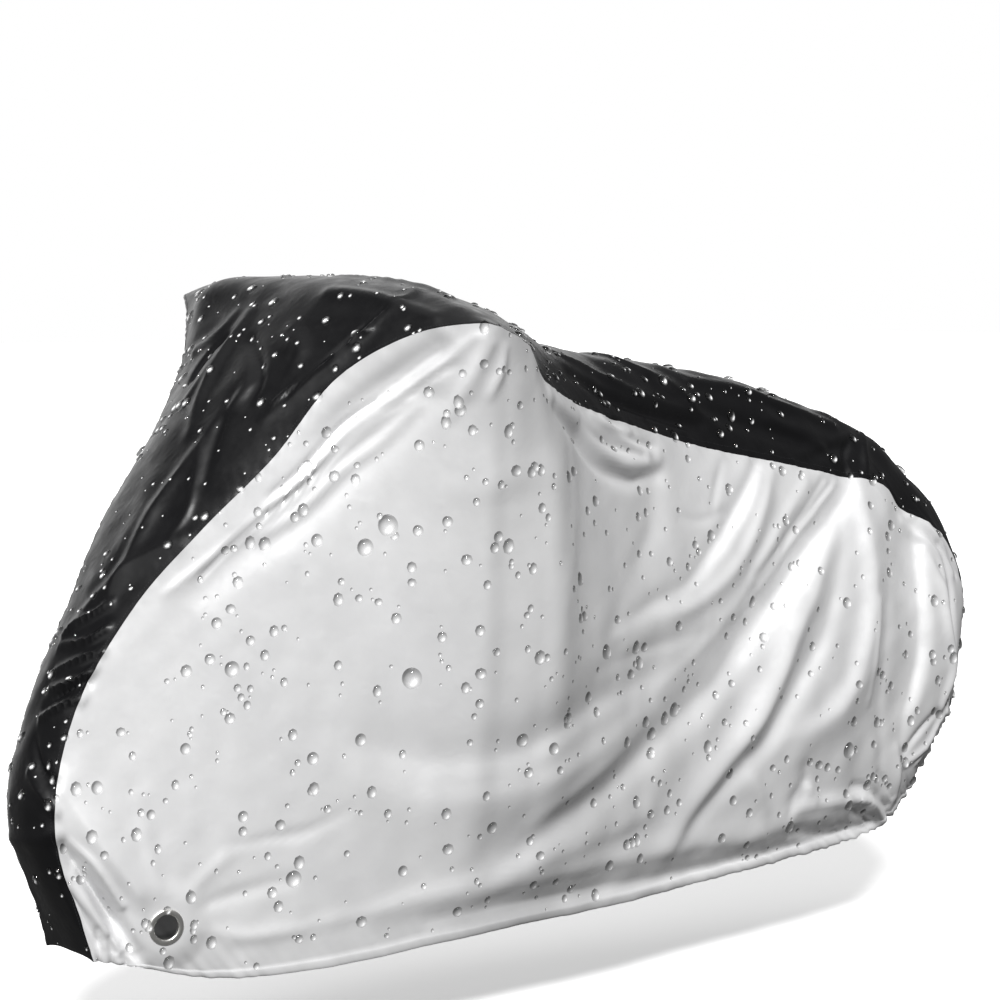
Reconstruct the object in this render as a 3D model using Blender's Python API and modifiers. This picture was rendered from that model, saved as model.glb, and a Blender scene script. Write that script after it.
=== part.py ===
"""Fitted bicycle cover, 2 m long: a black top panel sewn between two silver side panels, with a gathered hem and
a lock eyelet low in each side. It hangs as it does over a bicycle, which is left out, so it is a hollow shell.

Run with: blender --background --python part.py

All sizes are metres. Places are first given over the ground: X runs from the front wheel to the rear wheel from
the middle of the bicycle, Y across it and Z up from the ground. Every object is then moved so that the origin is
REST_POINT, the place under the top panel that the saddle carries.
"""

import math

import bmesh
import bpy
import numpy as np
from mathutils import Matrix, Vector

# Cloth and sewing
CLOTH = 0.0015  # thickness of the coated cloth
SEAM_GAP = 0.0003  # kept between sewn pieces
HEM_WIDTH = 0.018  # the casing turned up round the elastic
HEM_SWELL = 0.0014  # how far the casing stands out on each face
REST_POINT = np.array((0.27, 0.0, 1.04725))  # the inner face of the top panel over the saddle

# The cover in cross-sections, front hem to rear hem. Each is a line over the cover from the hem of one side to
# the hem of the other, by way of the seam, the middle of the top panel (spine) and the other seam. Seam and hem
# are given for the near side (-Y); far_lift raises the far seam and far_ahead
# moves it forward, because the bicycle leans on its stand with its handlebar turned a little.
# belly is how far the side stands out past a straight line from seam to hem; near_crown and far_crown are the
# powers that round the top panel, from 1 (a ridge) to 4 (boxy).
SECTION_COLUMNS = (
    "spine_x", "spine_z", "seam_x", "seam_y", "seam_z", "far_lift", "far_ahead",
    "hem_x", "hem_y", "hem_z", "belly", "near_crown", "far_crown",
)
SECTIONS = (
    (-0.863, 0.187, -0.859, 0.070, 0.180, 0.000, 0.000, -0.800, 0.094, 0.170, 0.000, 2.5, 2.5),
    (-0.938, 0.385, -0.922, 0.072, 0.380, 0.000, 0.000, -0.692, 0.112, 0.139, 0.010, 2.5, 2.5),
    (-0.899, 0.560, -0.887, 0.070, 0.556, 0.000, 0.000, -0.600, 0.133, 0.132, 0.015, 2.5, 2.5),
    (-0.809, 0.725, -0.797, 0.090, 0.708, 0.000, 0.005, -0.520, 0.150, 0.132, 0.020, 2.5, 2.5),
    (-0.720, 0.860, -0.706, 0.135, 0.822, 0.000, 0.012, -0.455, 0.163, 0.136, 0.025, 2.5, 2.5),
    (-0.618, 1.000, -0.604, 0.175, 0.928, 0.005, 0.008, -0.400, 0.175, 0.141, 0.030, 2.5, 2.5),
    (-0.530, 1.105, -0.517, 0.215, 1.045, 0.015, 0.006, -0.350, 0.183, 0.147, 0.030, 2.4, 3.0),
    (-0.460, 1.178, -0.444, 0.305, 1.111, 0.030, 0.014, -0.305, 0.190, 0.150, 0.030, 2.4, 4.0),
    (-0.400, 1.198, -0.380, 0.388, 1.129, 0.038, 0.030, -0.265, 0.196, 0.153, 0.030, 2.1, 4.0),
    (-0.340, 1.191, -0.325, 0.390, 1.117, 0.040, 0.034, -0.225, 0.200, 0.156, 0.030, 2.6, 3.5),
    (-0.255, 1.166, -0.262, 0.358, 1.090, 0.038, 0.022, -0.180, 0.200, 0.158, 0.050, 3.6, 3.0),
    (-0.165, 1.138, -0.200, 0.318, 1.034, 0.030, 0.008, -0.130, 0.200, 0.160, 0.068, 4.0, 2.8),
    (-0.055, 1.098, -0.090, 0.258, 0.998, 0.020, 0.000, -0.040, 0.198, 0.161, 0.058, 3.6, 2.6),
    (0.090, 1.072, 0.085, 0.190, 0.955, 0.010, 0.000, 0.085, 0.188, 0.162, 0.046, 3.0, 2.6),
    (0.270, 1.048, 0.275, 0.142, 0.912, 0.000, 0.000, 0.240, 0.165, 0.164, 0.050, 3.0, 3.0),
    (0.450, 1.018, 0.465, 0.128, 0.876, 0.000, 0.000, 0.400, 0.148, 0.168, 0.055, 3.0, 3.0),
    (0.640, 0.966, 0.650, 0.122, 0.842, 0.000, 0.000, 0.540, 0.135, 0.173, 0.055, 2.6, 2.6),
    (0.780, 0.918, 0.750, 0.120, 0.819, 0.000, 0.000, 0.640, 0.122, 0.178, 0.050, 2.4, 2.4),
    (0.850, 0.872, 0.803, 0.119, 0.776, 0.000, 0.000, 0.705, 0.113, 0.184, 0.048, 2.4, 2.4),
    (0.924, 0.804, 0.868, 0.119, 0.746, 0.000, 0.000, 0.772, 0.106, 0.198, 0.045, 2.4, 2.4),
    (0.984, 0.728, 0.922, 0.117, 0.705, 0.000, 0.000, 0.826, 0.100, 0.234, 0.040, 2.4, 2.4),
    (1.014, 0.620, 0.965, 0.112, 0.620, 0.000, 0.000, 0.862, 0.097, 0.277, 0.030, 2.4, 2.4),
    (1.008, 0.500, 0.972, 0.102, 0.505, 0.000, 0.000, 0.896, 0.094, 0.314, 0.015, 2.4, 2.4),
    (0.984, 0.385, 0.960, 0.086, 0.376, 0.000, 0.000, 0.922, 0.088, 0.345, 0.000, 2.4, 2.4),
)
LAST = len(SECTIONS) - 1

# Folds of the cloth: a name, how far the fold spreads to the left and to the right of its path (mm), how sharp
# it is (0 rounded, 1 creased), and its path as (section number, place across, height in mm). A height below
# zero is a hollow. The place across is -2 at the near hem, -1 at the near seam, 0 on the spine, 1 at the far
# seam and 2 at the far hem.
SIDE_FOLDS = (
    (
        "taut crease from the grip to the front wheel", 20, 16, 0.75,
        ((7.95, -1.02, 8), (7.15, -1.07, 10), (6.05, -1.10, 10), (5.00, -1.08, 9), (4.15, -1.07, 9),
         (3.40, -1.04, 7)),
    ),
    (
        "hollow between that crease and the seam", 18, 18, 0,
        ((7.35, -1.03, -7), (6.80, -1.05, -11), (6.20, -1.06, -8), (5.65, -1.06, -4)),
    ),
    (
        "long hollow inside the crease", 30, 22, 0,
        ((7.10, -1.10, -5), (6.35, -1.13, -7), (5.60, -1.13, -7), (4.55, -1.10, -6), (3.75, -1.09, -4)),
    ),
    (
        "edge below the grip", 40, 24, 0.1,
        ((11.30, -1.01, 2), (11.60, -1.08, 4), (11.55, -1.19, 6), (11.05, -1.35, 5), (10.70, -1.48, 4),
         (10.40, -1.59, 2)),
    ),
    (
        "hollow behind it", 26, 22, 0,
        ((13.30, -1.12, -1), (13.10, -1.23, -3), (12.65, -1.34, -2), (12.25, -1.45, -1)),
    ),
    (
        "sagging flap under the seam, lip", 24, 12, 0,
        ((11.05, -1.02, 5), (12.00, -1.04, 9), (12.45, -1.08, 10), (12.85, -1.09, 10), (13.35, -1.06, 6)),
    ),
    (
        "under the lip", 14, 14, 0,
        ((11.15, -1.04, -4), (11.85, -1.07, -8), (12.30, -1.11, -9), (12.80, -1.12, -8),
         (13.35, -1.09, -4)),
    ),
    (
        "line of the ridge falling from the seam", 11, 16, 0.1,
        ((14.75, -1.02, -5), (14.50, -1.11, -7), (14.10, -1.22, -6), (13.70, -1.31, -4),
         (13.05, -1.37, -3), (12.40, -1.42, -1)),
    ),
    (
        "ridge falling from the seam", 18, 14, 0.1,
        ((14.95, -1.03, 4), (14.75, -1.12, 7), (14.40, -1.25, 7), (13.90, -1.34, 5), (13.30, -1.40, 4),
         (12.65, -1.45, 2)),
    ),
    (
        "second ridge falling from the seam", 14, 14, 0.1,
        ((15.40, -1.04, 3), (15.10, -1.13, 5), (14.80, -1.22, 6), (14.50, -1.32, 5), (14.15, -1.39, 3)),
    ),
    (
        "deep valley of the long diagonal fold", 28, 46, 0.1,
        ((16.00, -1.04, -3), (15.70, -1.13, -5), (15.45, -1.18, -7), (15.25, -1.24, -9),
         (14.85, -1.33, -12), (14.45, -1.43, -14), (14.05, -1.53, -16), (13.60, -1.60, -17),
         (12.85, -1.70, -16), (12.10, -1.76, -14), (10.90, -1.82, -10), (8.50, -1.90, -5),
         (6.60, -1.92, -2)),
    ),
    (
        "crest of the long diagonal fold", 24, 30, 0.1,
        ((15.70, -1.16, 3), (15.55, -1.23, 7), (15.35, -1.33, 11), (15.10, -1.43, 14), (14.85, -1.55, 16),
         (14.60, -1.64, 17), (14.25, -1.72, 15), (13.90, -1.80, 12), (13.55, -1.89, 6)),
    ),
    (
        "foot of the long diagonal fold", 22, 30, 0,
        ((13.15, -1.81, 7), (12.35, -1.84, 9), (11.35, -1.86, 9), (9.50, -1.90, 7), (6.95, -1.92, 4),
         (5.00, -1.91, 2)),
    ),
    (
        "valley between the long fold and the corner fold", 20, 33, 0,
        ((15.85, -1.09, -2), (15.80, -1.20, -4), (15.70, -1.31, -7), (15.55, -1.43, -10),
         (15.30, -1.52, -11), (15.05, -1.61, -10), (14.80, -1.69, -8), (14.45, -1.74, -6),
         (14.05, -1.81, -5), (13.65, -1.89, -3)),
    ),
    (
        "fold falling from the saddle-bag corner", 44, 24, 0.05,
        ((16.25, -1.01, 9), (16.35, -1.16, 14), (16.45, -1.29, 16), (16.40, -1.40, 17), (16.30, -1.50, 16),
         (16.10, -1.58, 14), (15.60, -1.65, 9), (15.10, -1.68, 4)),
    ),
    (
        "deep valley behind the corner fold", 14, 34, 0,
        ((18.15, -1.01, -8), (18.30, -1.10, -14), (18.50, -1.20, -19), (18.70, -1.35, -22),
         (18.75, -1.45, -22), (18.65, -1.55, -18), (18.45, -1.62, -11), (18.50, -1.72, -5)),
    ),
    (
        "ridge over the rear tyre", 9, 12, 0,
        ((18.75, -1.10, 4), (19.50, -1.20, 8), (20.05, -1.33, 10), (20.80, -1.45, 9), (20.75, -1.63, 5)),
    ),
    (
        "last hollow behind it", 9, 9, 0,
        ((19.40, -1.05, -3), (20.00, -1.14, -5), (20.30, -1.27, -6), (20.75, -1.36, -4)),
    ),
    (
        "low swag in the middle, crest", 50, 26, 0,
        ((13.80, -1.50, 2), (13.15, -1.58, 5), (12.40, -1.65, 7), (11.45, -1.70, 8), (9.80, -1.75, 6),
         (7.80, -1.76, 5), (6.40, -1.74, 4), (5.35, -1.67, 3), (4.55, -1.59, 1)),
    ),
    (
        "low swag in the middle, hollow above", 20, 44, 0,
        ((13.15, -1.51, -3), (12.25, -1.56, -6), (11.05, -1.62, -7), (9.55, -1.68, -6), (7.75, -1.69, -5),
         (6.50, -1.67, -4), (5.50, -1.60, -3), (4.70, -1.53, -1)),
    ),
    (
        "cloth standing out above the hem", 17, 30, 0,
        ((17.80, -1.90, 3), (15.65, -1.89, 5), (14.80, -1.91, 6), (14.10, -1.90, 6), (13.15, -1.90, 6),
         (11.55, -1.90, 6), (8.55, -1.92, 4), (5.60, -1.92, 2)),
    ),
    (
        "tuck just above the hem", 9, 18, 0,
        ((18.20, -1.98, -4), (15.80, -1.97, -6), (14.10, -1.97, -7), (12.40, -1.96, -6), (9.55, -1.96, -4),
         (6.60, -1.96, -2)),
    ),
    (
        "dented facet above the rear hem", 20, 26, 0.2,
        ((14.50, -1.73, 4), (14.75, -1.78, 8), (14.95, -1.84, 5)),
    ),
    (
        "hollow of that facet", 11, 22, 0.1,
        ((15.55, -1.76, -4), (15.60, -1.81, -8), (15.40, -1.86, -5)),
    ),
    (
        "ridge from the hem corner to the eyelet", 38, 18, 0.2,
        ((1.40, -1.04, 5), (1.30, -1.21, 13), (1.20, -1.46, 15), (1.00, -1.62, 9)),
    ),
    (
        "pulled-in valley at the front corner", 14, 16, 0,
        ((0.95, -1.05, -10), (0.80, -1.20, -20), (0.55, -1.43, -20), (0.45, -1.65, -12)),
    ),
)
TOP_FOLDS = (
    (
        "bright crease across the front strip", 14, 20, 0.2,
        ((2.70, 0.15, 5), (3.05, -0.31, 8), (3.45, -0.64, 8), (3.80, -0.90, 5)),
    ),
    (
        "soft edge in front of the head tube", 30, 30, 0,
        ((4.15, 0.08, 3), (3.70, -0.17, 6), (3.10, 0.03, 4)),
    ),
    (
        "taut crease in front of the grip", 12, 12, 0.4,
        ((8.30, -0.57, 4), (6.40, -0.88, 6), (5.80, -0.88, 6), (5.20, -0.76, 3)),
    ),
    (
        "bar end under the far side", 38, 38, 0,
        ((7.05, 0.25, 4), (7.05, 0.57, 12), (6.90, 0.76, 13), (6.30, 0.79, 7)),
    ),
    (
        "creases at the far bar", 12, 12, 0,
        ((6.40, 0.36, 3), (6.05, 0.47, 6), (5.90, 0.73, 5)),
    ),
    (
        "second crease at the far bar", 12, 12, 0,
        ((5.75, 0.31, 3), (5.40, 0.27, 6), (5.10, 0.33, 4)),
    ),
    (
        "ridge from the grip to the saddle", 14, 12, 0.3,
        ((12.05, -0.62, 3), (12.70, -0.71, 7), (13.40, -0.80, 8), (14.05, -0.83, 4)),
    ),
    (
        "trough inside that ridge", 10, 20, 0,
        ((12.10, -0.82, -6), (12.65, -0.85, -12), (13.35, -0.90, -12), (14.10, -0.90, -6)),
    ),
    (
        "crease at the saddle-bag corner", 12, 12, 0.3,
        ((16.85, -0.44, 5), (16.60, -0.80, 8), (16.45, -0.95, 6)),
    ),
    (
        "crease in front of that corner", 10, 14, 0.2,
        ((15.25, -0.98, 3), (15.75, -0.86, 6), (16.45, -0.62, 4)),
    ),
)
FAR_SHIFT = 0.45  # the far side hangs much as the near one does, its folds this many sections further back
FAR_SHARE = 0.6  # and this much as high

# Lock eyelets, one low in each side
EYELET_PLACE = (1.15, 1.66)  # section number and distance from the spine, in the units of the folds
EYELET_HOLE = 0.0190  # radius of the opening through the ring
EYELET_BARREL = 0.0202  # outer radius of the ring where it passes through the cloth
EYELET_FLANGE = 0.0275  # outer radius of the ring
EYELET_LIP = 0.0011  # thickness of the rolled flanges at their edge
EYELET_CROWN = 0.0024  # and over the barrel
CLOTH_HOLE = 0.0214  # radius of the hole in the cloth
FLAT_RADIUS = 0.031  # the cloth lies flat this far from the middle of the eyelet
BLEND_RADIUS = 0.080  # and has its own shape again this far out
FIT = 0.0003  # between the ring and the cloth

REST_SECTION = 14  # the section that lies over the saddle

# Mesh: lines along the cover, and rows down the near side, across the top and down the far side
STATIONS = 74
NEAR_ROWS = 20
TOP_ROWS = 12
FAR_ROWS = 12
HEM_ROWS = 2
EYELET_STEPS = 24
WINDOW_REACH = 0.036  # the piece that carries the eyelet reaches at least this far from its middle
STRIP_RINGS = (CLOTH_HOLE, FLAT_RADIUS)  # radii of its flat part
STRIP_SPLIT = 2  # steps of its edge for each step of the panel it is let into

COLLECTION = "bicycle_cover"
SILVER = ((0.62, 0.63, 0.64), 0.1, 0.42, 0.2)  # colour, metallic, roughness, sheen
BLACK = ((0.012, 0.012, 0.014), 0.0, 0.38, 0.3)
METAL = ((0.58, 0.58, 0.56), 1.0, 0.25)


# ---------------------------------------------------------------- the shape


def smooth_through(rows, places):
    """Values on a smooth curve (Catmull-Rom) through the rows of a table, at the places counted in rows."""
    rows = np.asarray(rows, float)
    last = len(rows) - 1
    places = np.clip(np.asarray(places, float), 0, last)
    k = np.minimum(places.astype(int), last - 1)
    f = (places - k)[..., None]
    a, b = rows[k], rows[k + 1]
    before = np.where(k[..., None] > 0, rows[np.maximum(k - 1, 0)], 2 * a - b)
    after = np.where(k[..., None] + 2 <= last, rows[np.minimum(k + 2, last)], 2 * b - a)
    return 0.5 * (
        2 * a + (b - before) * f + (2 * before - 5 * a + 4 * b - after) * f**2
        + (3 * a - before - 3 * b + after) * f**3
    )


def smooth_form(t, v):
    """The cover without its folds, at section numbers t and places across v."""
    values = smooth_through(SECTIONS, t)
    s = dict(zip(SECTION_COLUMNS, np.moveaxis(values, -1, 0)))
    v = np.asarray(v, float)
    side = np.where(v < 0, -1.0, 1.0)
    across = np.abs(v)
    seam_x = s["seam_x"] - np.where(v > 0, s["far_ahead"], 0.0)
    seam_z = s["seam_z"] + np.where(v > 0, s["far_lift"], 0.0)

    # The top panel is arched between its seams.
    crown = np.where(v < 0, s["near_crown"], s["far_crown"])
    rise = 1 - np.minimum(across, 1) ** crown
    top = (
        seam_x + (s["spine_x"] - seam_x) * rise,
        side * s["seam_y"] * np.minimum(across, 1),
        seam_z + (s["spine_z"] - seam_z) * rise,
    )

    # The side panel hangs from seam to hem, bellied in between.
    down = np.clip(across - 1, 0, 1)
    belly = s["belly"] * 4 * down * (1 - down)
    flank = (
        seam_x + (s["hem_x"] - seam_x) * down,
        side * (s["seam_y"] + (s["hem_y"] - s["seam_y"]) * down + belly),
        seam_z + (s["hem_z"] - seam_z) * down,
    )
    return np.where((across > 1)[..., None], np.stack(flank, -1), np.stack(top, -1))


def unit(vectors):
    return vectors / np.maximum(np.linalg.norm(vectors, axis=-1, keepdims=True), 1e-12)


def smooth_normal(t, v):
    """Direction out of the cover, from steps wide enough to carry it gently over the seams."""
    along = smooth_form(t + 0.3, v) - smooth_form(t - 0.3, v)
    across = smooth_form(t, np.clip(v + 0.08, -2, 2)) - smooth_form(t, np.clip(v - 0.08, -2, 2))
    return unit(np.cross(along, across))


def far_folds():
    """The folds of the far side: those of the near side, moved and lower."""
    folds = []
    for name, left, right, crisp, path in SIDE_FOLDS:
        moved = [(t + FAR_SHIFT * (1 if t > 3 else 0), -v, FAR_SHARE * height) for t, v, height in path]
        folds.append((name, right, left, crisp, tuple(moved)))
    return tuple(folds)


def fold_heights(points, folds):
    """How far the folds lift points of the smooth form, given as an N x 3 array."""
    lift = np.zeros(len(points))
    for _, left, right, crisp, path in folds:
        places = np.linspace(0, len(path) - 1, 10 * (len(path) - 1) + 1)
        t, v, height = np.moveaxis(smooth_through(path, places), -1, 0)
        line = smooth_form(t, v)
        normal = smooth_normal(t, v)
        reach = 0.0025 * max(left, right)
        close = np.all((points > line.min(0) - reach) & (points < line.max(0) + reach), axis=1)
        if not close.any():
            continue
        some = points[close]
        start, step = line[:-1], np.diff(line, axis=0)
        offset = some[:, None] - start[None]
        share = np.clip((offset * step).sum(-1) / np.maximum((step**2).sum(-1), 1e-12), 0, 1)
        gap = offset - share[..., None] * step[None]
        distance = np.linalg.norm(gap, axis=-1)
        best = distance.argmin(1)
        row = np.arange(len(some))
        share, gap, distance = share[row, best], gap[row, best], distance[row, best]
        to_left = np.cross(normal[:-1], step)[best]
        width = np.where((gap * to_left).sum(-1) > 0, left, right) / 1000
        u = distance / width
        peak = height[:-1][best] + share * np.diff(height)[best]
        lift[close] += peak / 1000 * ((1 - crisp) * np.exp(-u * u) + crisp * np.exp(-1.7 * u))
    return lift


def eyelet_plane(side):
    """Middle and outward direction of an eyelet; side is -1 near, 1 far."""
    t, v = np.array([EYELET_PLACE[0]]), np.array([side * EYELET_PLACE[1]])
    return folded_form(t, v)[0], smooth_normal(t, v)[0]


def folded_form(t, v):
    """The cover with its folds."""
    points = smooth_form(t, v)
    flat = points.reshape(-1, 3)
    lift = fold_heights(flat, SIDE_FOLDS + TOP_FOLDS + far_folds()).reshape(points.shape[:-1])
    return points + smooth_normal(t, v) * lift[..., None]


def cloth_form(t, v):
    """Middle of the cloth: the folded cover, pressed flat round the eyelets."""
    points = folded_form(t, v)
    for side in (-1, 1):
        middle, normal = eyelet_plane(side)
        offset = points - middle
        height = offset @ normal
        radius = np.linalg.norm(offset - height[..., None] * normal, axis=-1)
        u = np.clip((BLEND_RADIUS - radius) / (BLEND_RADIUS - FLAT_RADIUS), 0, 1)
        press = np.where(np.abs(height) < 0.06, u * u * (3 - 2 * u), 0)
        points = points - (height * press)[..., None] * normal
    return points


# ---------------------------------------------------------------- the mesh


def stations():
    """Section numbers of the lines along the cover, closer together where the folds crowd and at the hems."""
    t = np.linspace(0, LAST, 40 * LAST + 1)
    run = sum(np.linalg.norm(np.diff(smooth_form(t, np.full_like(t, v)), axis=0), axis=1) for v in (-2, -1, 0))
    middle = (t[1:] + t[:-1]) / 2
    crowd = 1 + 0.45 * ((middle > 12.5) & (middle < 20.5)) + 0.25 * (middle < 4)
    length = np.concatenate([[0], np.cumsum(run * crowd)])
    inner = np.interp(np.linspace(0, length[-1], STATIONS - 4), length, t)[1:-1]
    inner[np.abs(inner - REST_SECTION).argmin()] = REST_SECTION
    return np.concatenate([[0, 0.06, 0.12], inner, [LAST - 0.24, LAST - 0.12, LAST]])


def places_down(t, rows):
    """Distances from the spine of the rows of a side panel, 1 at the seam to 2 at the hem. The last rows are
    the casing of the hem, as wide everywhere."""
    hem, seam = smooth_form(t, np.full_like(t, -2.0)), smooth_form(t, np.full_like(t, -1.0))
    length = np.linalg.norm(hem - seam, axis=1)
    casing = np.minimum(HEM_WIDTH / length, 0.45)[:, None]
    cloth = 1 + (1 - casing) * np.linspace(0, 1, rows + 1)[None]
    hem = 2 - casing * np.linspace(1, 0, HEM_ROWS + 1)[None, 1:]
    return np.concatenate([cloth, hem], axis=1)


def cloth_grid():
    """Both faces of the cloth as grids of points, lines along the cover by rows across it, with the row numbers
    of the near and far seams."""
    t = stations()
    across = np.linspace(-1, 1, TOP_ROWS + 1)[1:-1]
    top = np.broadcast_to(np.sign(across) * np.abs(across) ** 0.8, (len(t), TOP_ROWS - 1))
    v = np.concatenate([-places_down(t, NEAR_ROWS)[:, ::-1], top, places_down(t, FAR_ROWS)], axis=1)
    points = cloth_form(np.broadcast_to(t[:, None], v.shape), v)
    normal = unit(np.cross(np.gradient(points, axis=0), np.gradient(points, axis=1)))
    # The casing of the hem is thicker than the cloth, all round the opening.
    swell = np.zeros(v.shape)
    for rank, share in ((0, 0.5), (1, 1.0)):
        for edge in (swell[rank], swell[-1 - rank], swell[:, rank], swell[:, -1 - rank]):
            edge[:] = np.maximum(edge, share * HEM_SWELL)
    half = (CLOTH / 2 + swell)[..., None]
    near_seam = NEAR_ROWS + HEM_ROWS
    return points + normal * half, points - normal * half, near_seam, near_seam + TOP_ROWS


def cell_triangles(points, cells):
    """Two triangles for each cell of a grid of points, split along its shorter diagonal."""
    width = points.shape[1]
    triangles = []
    for i, j in cells:
        a, b, c, d = (i, j), (i + 1, j), (i + 1, j + 1), (i, j + 1)
        if np.linalg.norm(points[a] - points[c]) <= np.linalg.norm(points[b] - points[d]):
            split = ((a, b, c), (a, c, d))
        else:
            split = ((a, b, d), (b, c, d))
        triangles += [tuple(p * width + q for p, q in corner) for corner in split]
    return triangles


def sheet_object(name, outer, inner, triangles, material):
    """A closed sheet between two faces with the same triangles, with a rim wherever they end."""
    count = len(outer)
    edges = {(t[k], t[(k + 1) % 3]) for t in triangles for k in range(3)}
    rim = [(p, q) for p, q in edges if (q, p) not in edges]
    faces = list(triangles)
    faces += [(t[2] + count, t[1] + count, t[0] + count) for t in triangles]
    for p, q in sorted(rim):
        faces += [(q, p, p + count), (q, p + count, q + count)]
    mesh = bpy.data.meshes.new(name)
    mesh.from_pydata((np.concatenate([outer, inner]) - REST_POINT).tolist(), [], faces)
    work = bmesh.new()
    work.from_mesh(mesh)
    bmesh.ops.delete(work, geom=[v for v in work.verts if not v.link_faces], context="VERTS")
    work.to_mesh(mesh)
    work.free()
    mesh.materials.append(material)
    return link(bpy.data.objects.new(name, mesh))


def drawn_in(points, row, towards):
    """The grid with one edge row drawn back by half the seam gap."""
    points = points.copy()
    step = unit(points[:, towards] - points[:, row])
    points[:, row] += step * (SEAM_GAP / 2 + 0.00005)
    return points


def eyelet_window(outer, side):
    """The block of cells round an eyelet that is its own piece, as (first, last line, first, last row)."""
    middle, _ = eyelet_plane(side)
    rows = outer.shape[1]
    gap = np.linalg.norm(outer - middle, axis=-1)
    i, j = np.unravel_index(gap.argmin(), gap.shape)
    low, high = i, i
    while np.linalg.norm(outer[low, j] - middle) < WINDOW_REACH and low > 3:
        low -= 1
    while np.linalg.norm(outer[high, j] - middle) < WINDOW_REACH:
        high += 1
    up = j
    if side < 0:
        while np.linalg.norm(outer[i, up] - middle) < WINDOW_REACH:
            up += 1
        return low, high, HEM_ROWS, up
    while np.linalg.norm(outer[i, up] - middle) < WINDOW_REACH:
        up -= 1
    return low, high, up, rows - 1 - HEM_ROWS


def window_loop(window):
    """The grid places round a window, counter-clockwise seen from outside."""
    low, high, first, last = window
    loop = [(i, first) for i in range(low, high)]
    loop += [(high, j) for j in range(first, last)]
    loop += [(i, last) for i in range(high, low, -1)]
    loop += [(low, j) for j in range(last, first, -1)]
    return loop


def eyelet_strip(name, outer, inner, window, side, material):
    """The piece of cloth round an eyelet: flat under the ring, and out to the edge of the window."""
    middle, normal = eyelet_plane(side)
    loop = window_loop(window)
    share = np.arange(STRIP_SPLIT)[None, :, None] / STRIP_SPLIT
    faces = []
    for grid, sign in ((outer, 1), (inner, -1)):
        corner = np.array([grid[place] for place in loop])
        following = np.roll(corner, -1, axis=0)
        edge = (corner[:, None] * (1 - share) + following[:, None] * share).reshape(-1, 3)
        inward = unit(middle - edge)
        edge = edge + inward * 2 * SEAM_GAP
        away = edge - middle
        away = unit(away - (away @ normal)[:, None] * normal)
        rings = [middle + away * radius + sign * normal * CLOTH / 2 for radius in STRIP_RINGS]
        rings += [rings[-1] * (1 - s) + edge * s for s in (0.5, 1.0)]
        faces.append(np.stack(rings))
    rings, count = faces[0].shape[:2]
    triangles = []
    for ring in range(rings - 1):
        for k in range(count):
            a, b = ring * count + k, ring * count + (k + 1) % count
            c, d = b + count, a + count
            triangles += [(a, d, c), (a, c, b)]
    return sheet_object(name, faces[0].reshape(-1, 3), faces[1].reshape(-1, 3), triangles, material)


# ---------------------------------------------------------------- the ring


def eyelet_ring(name, side, material):
    """A rolled metal ring: a profile turned about the middle of the eyelet."""
    face = CLOTH / 2 + FIT
    front = (
        (EYELET_BARREL, face),
        (EYELET_FLANGE, face),
        (EYELET_FLANGE, face + EYELET_LIP),
        (EYELET_FLANGE - 0.0026, face + 0.9 * EYELET_CROWN),
        (EYELET_FLANGE - 0.0045, face + EYELET_CROWN),
        (EYELET_HOLE + 0.0018, face + 0.86 * EYELET_CROWN),
        (EYELET_HOLE + 0.0005, face + 0.45 * EYELET_CROWN),
        (EYELET_HOLE, face - 0.0002),
    )
    profile = [(radius, -height) for radius, height in front] + list(reversed(front))
    mesh = bpy.data.meshes.new(name)
    count = len(profile)
    edges = [(k, (k + 1) % count) for k in range(count)]
    mesh.from_pydata([(radius, 0.0, height) for radius, height in profile], edges, [])
    mesh.materials.append(material)
    ring = link(bpy.data.objects.new(name, mesh))
    turn = ring.modifiers.new("turned", "SCREW")
    turn.axis = "Z"
    turn.angle = math.tau
    turn.steps = turn.render_steps = EYELET_STEPS
    turn.use_merge_vertices = True
    turn.merge_threshold = 0.00001
    middle, normal = eyelet_plane(side)
    ring.matrix_world = (
        Matrix.Translation(Vector(middle - REST_POINT)) @ Vector(normal).to_track_quat("Z", "Y").to_matrix().to_4x4()
    )
    return ring


# ---------------------------------------------------------------- the object


def link(thing):
    bpy.data.collections[COLLECTION].objects.link(thing)
    return thing


def principled(name, colour, metallic, roughness, sheen=0.0):
    material = bpy.data.materials.new(name)
    material.use_nodes = True
    shader = material.node_tree.nodes["Principled BSDF"]
    shader.inputs["Base Color"].default_value = (*colour, 1)
    shader.inputs["Metallic"].default_value = metallic
    shader.inputs["Roughness"].default_value = roughness
    shader.inputs["Sheen Weight"].default_value = sheen
    material.diffuse_color = (*colour, 1)
    return material


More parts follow.
